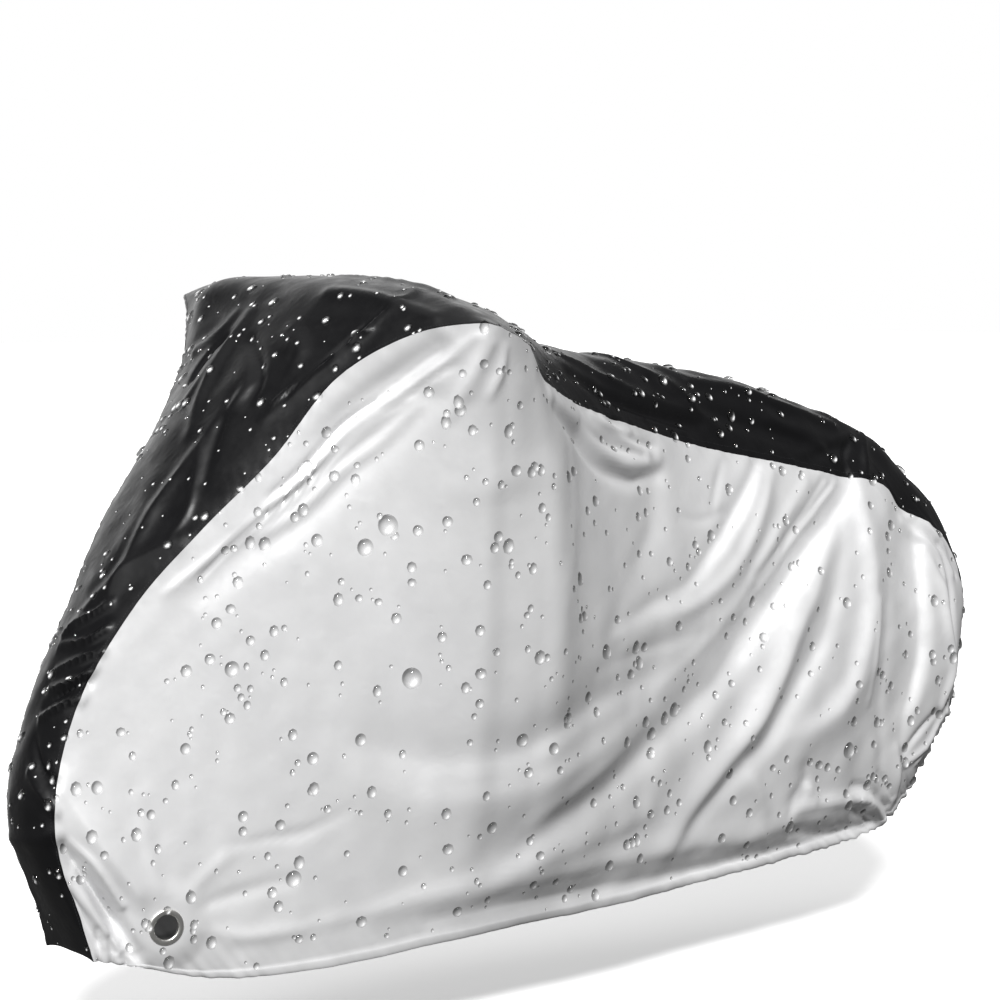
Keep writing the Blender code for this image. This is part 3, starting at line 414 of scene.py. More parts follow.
def smooth_form(t, v):
    """The cover without its folds, at section numbers t and places across v: -2 at the near hem, -1 at the
    near seam, 0 on the spine, 1 at the far seam and 2 at the far hem."""
    s = dict(zip(SECTION_COLUMNS, np.moveaxis(smooth_through(SECTIONS, t), -1, 0)))
    v = np.asarray(v, float)
    side = np.where(v < 0, -1.0, 1.0)
    seam_x = s["seam_x"] - np.where(v > 0, s["far_ahead"], 0.0)
    seam_z = s["seam_z"] + np.where(v > 0, s["far_lift"], 0.0)

    # The top panel is arched between its seams.
    over = np.minimum(np.abs(v), 1)
    rise = 1 - over ** np.where(v < 0, s["near_crown"], s["far_crown"])
    top = (
        seam_x + (s["spine_x"] - seam_x) * rise,
        side * s["seam_y"] * over,
        seam_z + (s["spine_z"] - seam_z) * rise,
    )

    # The side panel hangs from seam to hem, bellied in between.
    down = np.clip(np.abs(v) - 1, 0, 1)
    belly = s["belly"] * 4 * down * (1 - down)
    flank = (
        seam_x + (s["hem_x"] - seam_x) * down,
        side * (s["seam_y"] + (s["hem_y"] - s["seam_y"]) * down + belly),
        seam_z + (s["hem_z"] - seam_z) * down,
    )
    return np.where((np.abs(v) > 1)[..., None], np.stack(flank, -1), np.stack(top, -1))


def length(vectors):
    return np.linalg.norm(vectors, axis=-1)


def unit(vectors):
    return vectors / np.maximum(length(vectors)[..., None], 1e-12)


def smooth_normal(t, v):
    """Direction out of the cover."""
    step, side_step = NORMAL_STEPS
    along = smooth_form(t + step, v) - smooth_form(t - step, v)
    more, less = np.clip(v + side_step, -2, 2), np.clip(v - side_step, -2, 2)
    return unit(np.cross(along, smooth_form(t, more) - smooth_form(t, less)))


def placed(rows, side):
    """A table's folds with their places counted from the spine. The side is -1 for the near panel, 0 for
    the top, and 1 for the far panel, which has the near one's folds, moved and lower."""
    folds = []
    for left, right, crisp, *path in rows:
        if side > 0:
            left, right = right, left
            path = [(t + FAR_SHIFT * (t > 3), place, FAR_SHARE * height) for t, place, height in path]
        path = [(t, (side * (100 + place) if side else place) / 100, height) for t, place, height in path]
        folds.append((left, right, crisp, path))
    return folds


def fold_heights(points, folds):
    """How far the folds lift points of the smooth form, given as an N x 3 array."""
    lift = np.zeros(len(points))
    for left, right, crisp, path in folds:
        places = np.linspace(0, len(path) - 1, FOLD_STEPS * (len(path) - 1) + 1)
        t, v, height = np.moveaxis(smooth_through(path, places), -1, 0)
        line = smooth_form(t, v)
        reach = FOLD_REACH * max(left, right)
        close = np.all((points > line.min(0) - reach) & (points < line.max(0) + reach), axis=1)
        if not close.any():
            continue
        step = np.diff(line, axis=0)
        offset = points[close][:, None] - line[None, :-1]
        share = np.clip((offset * step).sum(-1) / np.maximum((step**2).sum(-1), 1e-12), 0, 1)
        gap = offset - share[..., None] * step[None]
        distance = length(gap)
        best = distance.argmin(1)
        row = np.arange(len(best))
        share, gap, distance = share[row, best], gap[row, best], distance[row, best]
        to_left = np.cross(smooth_normal(t, v)[:-1], step)[best]
        turn = (gap * to_left).sum(-1) / np.maximum(distance * length(to_left), 1e-12)
        u = distance / ((right + (left - right) * (0.5 + 0.5 * turn)) / 1000)
        peak = height[:-1][best] + share * np.diff(height)[best]
        lift[close] += peak / 1000 * ((1 - crisp) * np.exp(-u * u) + crisp * np.exp(-CREASE_FADE * u))
    return lift


def crinkle(points, t):
    """Small irregular waves of the cloth, stronger where it hangs slack behind the handlebar."""
    chance = np.random.default_rng(CRINKLE_SEED)
    lift = np.zeros(points.shape[:-1])
    for _ in range(CRINKLE_WAVES):
        wave = chance.uniform(*CRINKLE_LENGTH)
        direction = unit(chance.normal(size=3) * CRINKLE_WAY)
        turn = points @ direction * (math.tau / wave) + chance.uniform(0, math.tau)
        wander = chance.uniform(*CRINKLE_WANDER)
        bend = np.sin(points @ unit(chance.normal(size=3)) * (math.tau / WANDER_LENGTH))
        lift += wave * np.sin(turn + wander * bend)
    slack = np.interp(t, *zip(*CRINKLE_SLACK))
    return CRINKLE_HEIGHT * slack * lift / (np.mean(CRINKLE_LENGTH) * math.sqrt(CRINKLE_WAVES / 2))


def ripple(run, distance, shape, share=1.0):
    """An uneven wave beside a seam or hem, run metres along it, fading with the distance from it."""
    height, wave, reach, seed = shape
    chance = np.random.default_rng(seed)
    lift = np.zeros_like(run)
    for part in RIPPLE_PARTS:
        lift += np.sin(run * math.tau / (wave * part) + chance.uniform(0, math.tau)) / 2
    return share * height * np.exp(-distance / reach) * lift


def edge_distances(t, v):
    """Metres to the nearer seam and to the nearer part of the hem, measured over the smooth form."""
    side = np.where(v < 0, -1.0, 1.0)
    across = np.abs(v)
    spine, seam, hem = (smooth_form(t, side * place) for place in (0.0, 1.0, 2.0))
    drop = length(hem - seam)
    to_seam = np.where(across > 1, (across - 1) * drop, (1 - across) * length(seam - spine))
    to_hem = np.where(across > 1, (2 - across) * drop, 1.0)
    place = smooth_form(t, v)
    for end in (0.0, float(LAST)):
        to_end = length(place - smooth_form(np.full_like(t, end), v))
        to_hem = np.where(np.abs(t - end) < 1.0, np.minimum(to_hem, to_end), to_hem)
    return to_seam, to_hem


def eyelet_plane(side):
    """Middle and outward direction of an eyelet; side is -1 near, 1 far. Its middle is the solid ring's."""
    t, v = np.array([EYELET_PLACE[0]]), np.array([side * EYELET_PLACE[1]])
    point, normal = smooth_form(t, v), smooth_normal(t, v)
    lift = fold_heights(point, placed(SIDE_FOLDS, side) + placed(TOP_FOLDS, 0))
    return (point + normal * lift[:, None])[0], normal[0]


def cloth_form(t, v):
    """Middle of the cloth, on lines at section numbers t and at each line's places v, with all its folds,
    crinkles, and puckers along the seams and hem. Also how far each place is from the hem."""
    t = np.repeat(t[:, None], v.shape[1], axis=1)
    smooth = smooth_form(t, v)
    folds = placed(SIDE_FOLDS, -1) + placed(TOP_FOLDS, 0) + placed(FINE_SIDE_FOLDS, -1)
    folds += placed(FINE_TOP_FOLDS, 0) + placed(SIDE_FOLDS + FINE_SIDE_FOLDS, 1)
    lift = fold_heights(smooth.reshape(-1, 3), folds).reshape(t.shape)
    lift += crinkle(smooth, t)
    to_seam, to_hem = edge_distances(t, v)
    run = smooth[..., 0] + RIPPLE_UPWARD * smooth[..., 2]
    lift += ripple(run, to_seam, PUCKER)
    lift += ripple(run, to_hem, GATHER, np.interp(t, *zip(*GATHER_SHARE)))
    points = smooth + smooth_normal(t, v) * lift[..., None]
    # The cloth is pressed flat round each eyelet.
    for side in (-1, 1):
        middle, normal = eyelet_plane(side)
        offset = points - middle
        height = offset @ normal
        radius = length(offset - height[..., None] * normal)
        u = np.clip((BLEND_RADIUS - radius) / (BLEND_RADIUS - FLAT_RADIUS), 0, 1)
        press = np.where(np.abs(height) < PRESS_DEPTH, u * u * (3 - 2 * u), 0)
        points = points - (height * press)[..., None] * normal
    return points, to_hem


# ---------------------------------------------------------------- meshes


def stations(count):
    """Section numbers of the lines along the cover, evenly spaced over it."""
    t = np.linspace(0, LAST, STATION_STEPS * LAST + 1)
    run = sum(length(np.diff(smooth_form(t, np.full_like(t, v)), axis=0)) for v in (-2, -1, 0))
    run = np.concatenate([[0], np.cumsum(run)])
    return np.interp(np.linspace(0, run[-1], count), run, t)


def edge_lengths(t):
    """Across each section: metres over a side panel, and metres over half of the top panel."""
    spine, seam, hem = (smooth_form(t, np.full_like(t, v)) for v in (0.0, -1.0, -2.0))
    return length(hem - seam), length(seam - spine)


def places_across(t, rows, casing):
    """Places from seam (1) to hem (2) of a side panel, its last rows in the casing of the hem. Rows stand
    closer together near the seam, where the sharp creases are."""
    drop, _ = edge_lengths(t)
    share = np.minimum(casing / drop, WIDEST_CASING)[:, None]
    even = np.linspace(0, 1, rows + 1)[None]
    cloth = 1 + (1 - share) * even * (1 - ROWS_TO_SEAM * (1 - even) ** 2)
    return np.concatenate([cloth, 2 - share * np.array(CASING_ROWS)[None]], axis=1)


def cloth_grid(sizes):
    """The whole cover as a grid, lines along it by rows across it: middle points, normals, half thickness,
    and the rows of the near and far seam."""
    t = stations(sizes.lines)
    across = np.linspace(-1, 1, sizes.top_rows + 1)[1:-1]
    across = np.sign(across) * np.abs(across) ** TOP_ROWS_TO_SEAMS
    top = np.broadcast_to(across, (len(t), len(across)))
    near = -places_across(t, sizes.near_rows, sizes.casing)[:, ::-1]
    v = np.concatenate([near, top, places_across(t, sizes.far_rows, sizes.casing)], axis=1)
    points, to_hem = cloth_form(t, v)
    normal = unit(np.cross(np.gradient(points, axis=0), np.gradient(points, axis=1)))
    # The casing is fuller than the cloth, and the row of thread that closes it bites in.
    full = np.clip(1 - (2 * to_hem / sizes.casing - 1) ** 4, 0, 1)
    half = sizes.cloth / 2 + sizes.casing_swell * np.where(to_hem < sizes.casing, full, 0)
    near_seam = near.shape[1] - 1
    return points - REST_POINT, normal, half[..., None], near_seam, near_seam + sizes.top_rows


def grid_quads(lines, rows):
    """Faces between the points of a grid, as an array of lines by rows by four corners."""
    at = np.arange(lines * rows).reshape(lines, rows)
    return np.stack([at[:-1, :-1], at[1:, :-1], at[1:, 1:], at[:-1, 1:]], -1)


def holed(points, side):
    """Which faces of a grid stay round an eyelet's hole; the points at its edge are drawn to its circle."""
    lines, rows = points.shape[:2]
    middle, out = eyelet_plane(side)
    middle = middle - REST_POINT
    centre = (points[:-1, :-1] + points[1:, :-1] + points[1:, 1:] + points[:-1, 1:]) / 4
    keep = length(centre - middle) > CLOTH_HOLE
    cut_beside, kept_beside = np.zeros((2, lines, rows), bool)
    for i in (0, 1):
        for j in (0, 1):
            corner = (slice(i, lines - 1 + i), slice(j, rows - 1 + j))
            cut_beside[corner] |= ~keep
            kept_beside[corner] |= keep
    rim = cut_beside & kept_beside
    away = points[rim] - middle
    away -= (away @ out)[:, None] * out
    points[rim] = middle + unit(away) * CLOTH_HOLE
    return keep


def panel_mesh(name, points, normal, half, hole_side):
    """A sheet with two faces and a rim, over a block of the grid, with a round hole in it for the near (-1)
    or far (1) eyelet, or none (0)."""
    lines, rows = points.shape[:2]
    count = lines * rows
    points = points.copy()
    keep = holed(points, hole_side) if hole_side else np.ones((lines - 1, rows - 1), bool)
    quads = grid_quads(lines, rows)[keep]
    edges = np.concatenate([quads[:, [k, (k + 1) % 4]] for k in range(4)]).tolist()
    known = {tuple(edge) for edge in edges}
    border = np.array([edge for edge in edges if (edge[1], edge[0]) not in known])
    rims = np.concatenate([border[:, ::-1], border + count], axis=1)
    faces = np.concatenate([quads, quads[:, ::-1] + count, rims])
    verts = np.concatenate([(points + normal * half * face).reshape(-1, 3) for face in (1, -1)])
    mesh = bpy.data.meshes.new(name)
    mesh.from_pydata(verts.tolist(), [], faces.tolist())
    # Metres along the cloth and across it
    run = np.cumsum(length(np.diff(points, axis=0, prepend=points[:1])), axis=0)
    drop = np.cumsum(length(np.diff(points, axis=1, prepend=points[:, :1])), axis=1)
    flat = np.stack([np.broadcast_to(run.mean(1, keepdims=True), drop.shape), drop], -1).reshape(-1, 2)
    corners = np.array([loop.vertex_index for loop in mesh.loops]) % count
    mesh.uv_layers.new(name=CLOTH_UV).data.foreach_set("uv", flat[corners].ravel())
    mesh.shade_smooth()
    mesh.set_sharp_from_angle(angle=SHARP_ANGLE)
    work = bmesh.new()
    work.from_mesh(mesh)
    bmesh.ops.delete(work, geom=[p for p in work.verts if not p.link_faces], context="VERTS")
    work.to_mesh(mesh)
    work.free()
    return mesh


def meshed(name, work):
    """A bmesh as a mesh of its own."""
    mesh = bpy.data.meshes.new(name)
    work.to_mesh(mesh)
    work.free()
    mesh.shade_smooth()
    return mesh


def linked(name, data):
    thing = bpy.data.objects.new(name, data)
    bpy.context.scene.collection.objects.link(thing)
    return thing


def applied(thing):
    """Turns a piece's modifiers into plain mesh."""
    graph = bpy.context.evaluated_depsgraph_get()
    mesh = bpy.data.meshes.new_from_object(thing.evaluated_get(graph))
    thing.modifiers.clear()
    thing.data = mesh
    return thing


def grown(thing, tree, inputs):
    """Runs a Geometry Nodes tree on a piece, its inputs given by name, and makes the result plain mesh."""
    modifier = thing.modifiers.new(tree.name, "NODES")
    modifier.node_group = tree
    sockets = {item.name: item.identifier for item in tree.interface.items_tree if item.in_out == "INPUT"}
    for name, value in inputs.items():
        modifier[sockets[name]] = value
    return applied(thing)


def cloth_beside(t, v, step):
    """Places on a line of the cloth, and the cloth's direction from v - step to v + step there."""
    grid_v = np.stack([v - step, v, v + step], 1)
    points, _ = cloth_form(t, grid_v)
    return points[:, 1], points[:, 2] - points[:, 0]


# ---------------------------------------------------------------- materials


def linear(colour):
    """A colour property or an sRGB hex value as the linear colour that a shader takes."""
    if isinstance(colour, str):
        value = [int(colour[i : i + 2], 16) / 255 for i in (1, 3, 5)]
        colour = [c / 12.92 if c <= 0.04045 else ((c + 0.055) / 1.055) ** 2.4 for c in value]
    return (*colour, 1.0)


WHITE = linear("#FFFFFF")
# Painted shade at the rim and on the upper left of a bead of rain
PAINTED_SHADE_GREY = linear("#1A1A1A")


def joined(node, links):
    """Links inputs of a node, given as {input: (source node, output)}."""
    for key, (source, output) in links.items():
        node.id_data.links.new(source.outputs[output], node.inputs[key])
    return node


def add_node(tree, kind, settings=None, links=None):
    """Adds a node. settings go to its properties by name or to its inputs by number or name; links are
    {input: (node, output)}."""
    made = tree.nodes.new(kind)
    for key, value in (settings or {}).items():
        if isinstance(key, str) and hasattr(made, key) and key not in made.inputs:
            setattr(made, key, value)
        else:
            made.inputs[key].default_value = value
    return joined(made, links or {})


def new_material(name, inputs):
    """A material whose shader has these inputs, with its node tree and its shader."""
    material = bpy.data.materials.new(name)
    material.use_nodes = True
    tree = material.node_tree
    shader = tree.nodes["Principled BSDF"]
    for key, value in inputs.items():
        shader.inputs[key].default_value = value
    return material, tree, shader


def coated_taffeta(name, colour, dark, metallic, roughness, gleam, creased):
    """Polyester taffeta with a rolled-on coating: a plain weave that shows only close up, a smooth skin
    that creases finely when the cloth is packed, and dust that dulls it in patches. A pigment of aluminium
    flakes gives the silver one its half-metallic look."""
    uniform = {"Metallic": metallic, "Specular IOR Level": gleam}
    material, tree, shader = new_material(name, uniform)
    place = {"Vector": (add_node(tree, "ShaderNodeTexCoord"), "Object")}
    # Patches of dust, 0.2 m across
    patch = {"Scale": 1 / 0.2, "Detail": 3.0, "Roughness": 0.55}
    dust = add_node(tree, "ShaderNodeTexNoise", patch, place)
    tones = {"data_type": "RGBA", 6: linear(dark), 7: linear(colour)}
    tone = add_node(tree, "ShaderNodeMix", tones, {0: (dust, "Fac")})
    # The sheen of the coating is worn unevenly, 30 mm across
    patch = {"Scale": 1 / 0.03, "Detail": 4.0, "Roughness": 0.6}
    worn = add_node(tree, "ShaderNodeTexNoise", patch, place)
    span = {"From Min": 0.3, "From Max": 0.7, "To Min": roughness - 0.06, "To Max": roughness + 0.07}
    gloss = add_node(tree, "ShaderNodeMapRange", span, {"Value": (worn, "Fac")})
    # Packing creases: soft ridges between facets of 60 mm, and fine ones between facets of 16 mm
    below = {}
    for cell, depth in ((0.06, 0.0016 * creased), (0.016, 0.00035 * creased)):
        ridges = {"noise_type": "RIDGED_MULTIFRACTAL", "Scale": 1 / cell, "Detail": 2.0, "Roughness": 0.45}
        crease = add_node(tree, "ShaderNodeTexNoise", ridges, place)
        links = {"Height": (crease, "Fac"), **below}
        bump = add_node(tree, "ShaderNodeBump", {"Strength": 0.55, "Distance": depth}, links)
        below = {"Normal": (bump, "Normal")}
    # The weave: threads 0.25 mm apart are too fine to show, so they are drawn 1.2 mm apart
    flat = {"Vector": (add_node(tree, "ShaderNodeUVMap", {"uv_map": CLOTH_UV}), "UV")}
    for direction in ("X", "Y"):
        bands = {"bands_direction": direction, "Scale": 1 / 0.0012 / math.tau * 2, "Distortion": 0.3}
        thread = add_node(tree, "ShaderNodeTexWave", bands, flat)
        links = {"Height": (thread, "Fac"), **below}
        bump = add_node(tree, "ShaderNodeBump", {"Strength": 0.12, "Distance": 0.00006}, links)
        below = {"Normal": (bump, "Normal")}
    joined(shader, {"Base Color": (tone, 2), "Roughness": (gloss, "Result"), **below})
    return material


def sewing_thread(name, colour):
    """Twisted polyester thread: matt, with a twist that breaks up its light."""
    uniform = {"Base Color": linear(colour), "Roughness": 0.62}
    material, tree, shader = new_material(name, uniform)
    place = {"Vector": (add_node(tree, "ShaderNodeTexCoord"), "Object")}
    # Twist of 0.8 mm
    twist = add_node(tree, "ShaderNodeTexNoise", {"Scale": 1 / 0.0008, "Detail": 1.0}, place)
    low = {"Strength": 0.3, "Distance": 0.0001}
    bump = add_node(tree, "ShaderNodeBump", low, {"Height": (twist, "Fac")})
    joined(shader, {"Normal": (bump, "Normal")})
    return material


def nickel_plate(name, colour):
    """Brass, stamped and rolled, then nickel plated and tumbled: a soft mirror with fine scuffs."""
    material, tree, shader = new_material(name, {"Base Color": linear(colour), "Metallic": 1.0})
    place = {"Vector": (add_node(tree, "ShaderNodeTexCoord"), "Object")}
    # Scuffs 1.5 mm across
    scuffs = {"Scale": 1 / 0.0015, "Detail": 5.0, "Roughness": 0.7}
    scuff = add_node(tree, "ShaderNodeTexNoise", scuffs, place)
    span = {"From Min": 0.35, "From Max": 0.7, "To Min": 0.3, "To Max": 0.46}
    rough = add_node(tree, "ShaderNodeMapRange", span, {"Value": (scuff, "Fac")})
    joined(shader, {"Roughness": (rough, "Result")})
    return material


def rain_water(name):
    """Clear water, with painted shade at a bead's rim and on its upper left, and a painted highlight of white
    diffuse on its lower right. Light on its way to the cloth passes straight through, so that the cloth is
    lit once."""
    uniform = {"Roughness": 0.02, "IOR": 1.333, "Transmission Weight": 1.0}
    material, tree, shader = new_material(name, uniform)
    # Painted shade: the bead's rim and upper left are tinted towards grey by its attribute
    painted_shade = add_node(tree, "ShaderNodeAttribute", {"attribute_name": "painted_shade"})
    tones = {"data_type": "RGBA", 6: WHITE, 7: PAINTED_SHADE_GREY}
    tone = add_node(tree, "ShaderNodeMix", tones, {0: (painted_shade, "Fac")})
    joined(shader, {"Base Color": (tone, 2)})
    # Painted highlight: a white diffuse surface is mixed in on the bead's lower right by its attribute
    painted_glint = add_node(tree, "ShaderNodeAttribute", {"attribute_name": "painted_glint"})
    painted_glint_white = add_node(tree, "ShaderNodeBsdfDiffuse", {"Color": WHITE})
    water = add_node(tree, "ShaderNodeMixShader", {}, {0: (painted_glint, "Fac"), 1: (shader, 0), 2: (painted_glint_white, 0)})
    ray = add_node(tree, "ShaderNodeLightPath")
    any_of = {"operation": "MAXIMUM"}
    links = {0: (ray, "Is Diffuse Ray"), 1: (ray, "Is Glossy Ray")}
    scattered = add_node(tree, "ShaderNodeMath", any_of, links)
    light = add_node(tree, "ShaderNodeMath", any_of, {0: (ray, "Is Shadow Ray"), 1: (scattered, 0)})
    clear = add_node(tree, "ShaderNodeBsdfTransparent")
    mix = add_node(tree, "ShaderNodeMixShader", {}, {0: (light, 0), 1: (water, 0), 2: (clear, 0)})
    joined(tree.nodes["Material Output"], {"Surface": (mix, 0)})
    return material


def studio_floor(name, colour):
    """White acrylic sheet, sanded matt and lit evenly from below."""
    white = linear(colour)
    uniform = {"Base Color": white, "Roughness": 0.9, "Emission Color": white, "Emission Strength": 0.5}
    material, tree, shader = new_material(name, uniform)
    place = {"Vector": (add_node(tree, "ShaderNodeTexCoord"), "Object")}
    # Sanding marks 4 mm across
    grain = add_node(tree, "ShaderNodeTexNoise", {"Scale": 1 / 0.004, "Detail": 2.0}, place)
    low = {"Strength": 0.05, "Distance": 0.0002}
    bump = add_node(tree, "ShaderNodeBump", low, {"Height": (grain, "Fac")})
    joined(shader, {"Normal": (bump, "Normal")})
    return material


# ---------------------------------------------------------------- repeated things


def new_tree(name, inputs):
    """A Geometry Nodes tree with a geometry in and out, and named inputs: {name: (kind, default)}."""
    tree = bpy.data.node_groups.new(name, "GeometryNodeTree")
    for label, (kind, default) in {"Geometry": ("Geometry", None), **inputs}.items():
        socket = tree.interface.new_socket(label, in_out="INPUT", socket_type="NodeSocket" + kind)
        if default is not None:
            socket.default_value = default
    tree.interface.new_socket("Geometry", in_out="OUTPUT", socket_type="NodeSocketGeometry")
    return tree, add_node(tree, "NodeGroupInput")


def ended(tree, start, made):
    """Realizes the instances, gives them the material and ends the tree."""
    real = add_node(tree, "GeometryNodeRealizeInstances", {}, {"Geometry": (made, 0)})
    smooth = add_node(tree, "GeometryNodeSetShadeSmooth", {}, {"Geometry": (real, 0)})
    links = {"Geometry": (smooth, 0), "Material": (start, "Material")}
    painted = add_node(tree, "GeometryNodeSetMaterial", {}, links)
    add_node(tree, "NodeGroupOutput", {}, {0: (painted, 0)})
    return tree


def stitch_tree():
    """Stitches along the lines of a mesh, laid on the cloth by the direction kept in 'out'."""
    inputs = {
        "Pitch": ("Float", 0.0045),
        "Length": ("Float", 0.0034),
        "Width": ("Float", 0.001),
        "Material": ("Material", None),
    }
    tree, start = new_tree("row_of_stitches", inputs)
    line = add_node(tree, "GeometryNodeMeshToCurve", {}, {"Mesh": (start, "Geometry")})
    links = {"Curve": (line, 0), "Length": (start, "Pitch")}
    evenly = add_node(tree, "GeometryNodeResampleCurve", {"mode": "LENGTH"}, links)
    ball = add_node(tree, "GeometryNodeMeshUVSphere", {"Segments": 6, "Rings": 4, "Radius": 0.5})
    along = add_node(tree, "GeometryNodeInputTangent")
    out = add_node(tree, "GeometryNodeInputNamedAttribute", {"data_type": "FLOAT_VECTOR", "Name": "out"})
    lay = add_node(tree, "FunctionNodeAlignRotationToVector", {"axis": "X"}, {"Vector": (along, "Tangent")})
    links = {"Rotation": (lay, 0), "Vector": (out, "Attribute")}
    lean = add_node(tree, "FunctionNodeAlignRotationToVector", {"axis": "Z", "pivot_axis": "X"}, links)
    # Thread lies a little flattened.
    thick = add_node(tree, "ShaderNodeMath", {"operation": "MULTIPLY", 1: 0.6}, {0: (start, "Width")})
    links = {"X": (start, "Length"), "Y": (start, "Width"), "Z": (thick, 0)}
    size = add_node(tree, "ShaderNodeCombineXYZ", {}, links)
    links = {"Points": (evenly, 0), "Instance": (ball, "Mesh"), "Rotation": (lean, 0), "Scale": (size, 0)}
    return ended(tree, start, add_node(tree, "GeometryNodeInstanceOnPoints", {}, links))


def bead_tree():
    """Beads of rain scattered over a skin, many small and few large, drawn out a little downhill."""
    inputs = {
        "Per square metre": ("Float", 300.0),
        "Smallest": ("Float", 0.005),
        "Largest": ("Float", 0.02),
        "Seed": ("Int", 1),
        "Bead": ("Object", None),
        "Material": ("Material", None),
    }
    tree, start = new_tree("scattered_beads", inputs)
    # Rain stands closer in some patches, 0.2 m across, than between them.
    patch = add_node(tree, "ShaderNodeTexNoise", {"Scale": 4.5, "Detail": 2.0})
    span = {"From Min": 0.36, "From Max": 0.62, "To Min": 0.35, "To Max": 1.0}
    wet = add_node(tree, "ShaderNodeMapRange", span, {"Value": (patch, "Fac")})
    times = {"operation": "MULTIPLY"}
    density = add_node(tree, "ShaderNodeMath", times, {0: (start, "Per square metre"), 1: (wet, "Result")})
    links = {"Mesh": (start, "Geometry"), "Density": (density, 0), "Seed": (start, "Seed")}
    spots = add_node(tree, "GeometryNodeDistributePointsOnFaces", {}, links)
    # Most are small.
    chance = add_node(tree, "FunctionNodeRandomValue", {"data_type": "FLOAT"}, {"Seed": (start, "Seed")})
    few = add_node(tree, "ShaderNodeMath", {"operation": "POWER", 1: 2.2}, {0: (chance, 1)})
    links = {"Value": (few, 0), "To Min": (start, "Smallest"), "To Max": (start, "Largest")}
    across = add_node(tree, "ShaderNodeMapRange", {}, links)
    long = add_node(tree, "FunctionNodeRandomValue", {"data_type": "FLOAT", 2: 0.95, 3: 1.4, "Seed": 5})
    down = add_node(tree, "ShaderNodeMath", times, {0: (across, "Result"), 1: (long, 1)})
    links = {"X": (across, "Result"), "Y": (down, 0), "Z": (across, "Result")}
    size = add_node(tree, "ShaderNodeCombineXYZ", {}, links)
    # They stand on the cloth and hang downhill.
    links = {"Vector": (spots, "Normal")}
    stand = add_node(tree, "FunctionNodeAlignRotationToVector", {"axis": "Z"}, links)
    downhill = {"axis": "Y", "pivot_axis": "Z", "Vector": (0, 0, -1)}
    hang = add_node(tree, "FunctionNodeAlignRotationToVector", downhill, {"Rotation": (stand, 0)})
    bead = add_node(tree, "GeometryNodeObjectInfo", {}, {"Object": (start, "Bead")})
    links = {"Points": (spots, "Points"), "Instance": (bead, "Geometry"), "Rotation": (hang, 0)}
    links["Scale"] = (size, 0)
    return ended(tree, start, add_node(tree, "GeometryNodeInstanceOnPoints", {}, links))


def bead_mesh(segments):
    """A bead of water 1 m across, standing on the XY plane, its foot a little under it. Downhill is +Y, and
    its painted shade and its painted highlight are kept in attributes."""
    work = bmesh.new()
    painted_shade = work.verts.layers.float.new("painted_shade")
    painted_glint = work.verts.layers.float.new("painted_glint")
    rings = []
    for radius, height, dim, more, painted_glint_share in BEAD_RINGS[:-1]:
        ring = []
        for k in range(segments):
            angle = math.tau * k / segments
            x, y = radius * math.cos(angle) / 2, radius * math.sin(angle) / 2
            downhill = y + BEAD_HANG * max(height, 0)
            vert = work.verts.new((x, downhill, height / 2 * (1 + BEAD_FULLER * y)))
            # lit is 1 on the upper left, which faces the key light: painted shade is added there, and the
            # painted highlight goes on the opposite side
            lit = 0.5 + 0.5 * math.cos(angle + math.pi / 4)
            vert[painted_shade] = max(dim - BEAD_LESS_PAINTED_SHADE * (1 - lit) ** 3, 0) + more * lit
            vert[painted_glint] = painted_glint_share * (1 - lit) ** 2
            ring.append(vert)
        rings.append(ring)
    _, height, dim, _, painted_glint_share = BEAD_RINGS[-1]
    top = work.verts.new((0, BEAD_TOP_HANG, height / 2))
    top[painted_shade], top[painted_glint] = dim, painted_glint_share
    around = [(k, (k + 1) % segments) for k in range(segments)]
    for low, high in zip(rings, rings[1:]):
        for k, j in around:
            work.faces.new((low[k], low[j], high[j], high[k]))
    for k, j in around:
        work.faces.new((high[k], high[j], top))
    work.faces.new(rings[0][::-1])
    return meshed("bead", work)


# ---------------------------------------------------------------- settings


def metres(name, description, value):
    return bpy.props.FloatProperty(name=name, description=description, default=value, unit="LENGTH")


def number(name, description, value):
    return bpy.props.IntProperty(name=name, description=description, default=value, min=1)


def hex_colour(name, description, value):
    colour = linear(value)[:3]
    return bpy.props.FloatVectorProperty(
        name=name, description=description, subtype="COLOR", size=3, default=colour
    )


class CoverSizes(bpy.types.PropertyGroup):
    """Sizes of the cover's cloth and sewing"""

    cloth: metres("Cloth", "Thickness of the cloth", 0.0008)
    casing: metres("Hem", "Width of the hem's casing", 0.018)
    casing_swell: metres("Hem swell", "How far the casing stands out on each face", 0.0014)
    seam_gap: metres("Seam gap", "Groove where two panels meet", 0.0004)
    lines: number("Lines", "Mesh lines along the cover", 460)
    near_rows: number("Near rows", "Mesh rows down the near side", 100)
    top_rows: number("Top rows", "Mesh rows across the top", 104)
    far_rows: number("Far rows", "Mesh rows down the far side", 64)
    stitch_pitch: metres("Stitch pitch", "From one stitch to the next", 0.0048)
    stitch_length: metres("Stitch", "Length of a stitch", 0.0036)
    thread: metres("Thread", "Thickness of the thread", 0.001)
    topstitch: metres("Topstitch", "From a seam to its row of stitches", 0.005)
    beads: bpy.props.FloatProperty(name="Beads", description="Beads of rain per square metre", default=740)
    smallest_bead: metres("Smallest bead", "Width of the smallest bead", 0.0045)
    largest_bead: metres("Largest bead", "Width of the largest scattered bead", 0.019)
    ring_hole: metres("Eyelet hole", "Radius of the opening in an eyelet", 0.019)
    ring_reach: metres("Eyelet", "Outer radius of an eyelet", 0.0275)
    ground: metres("Ground", "From the saddle rest down to the floor", float(REST_POINT[2]))


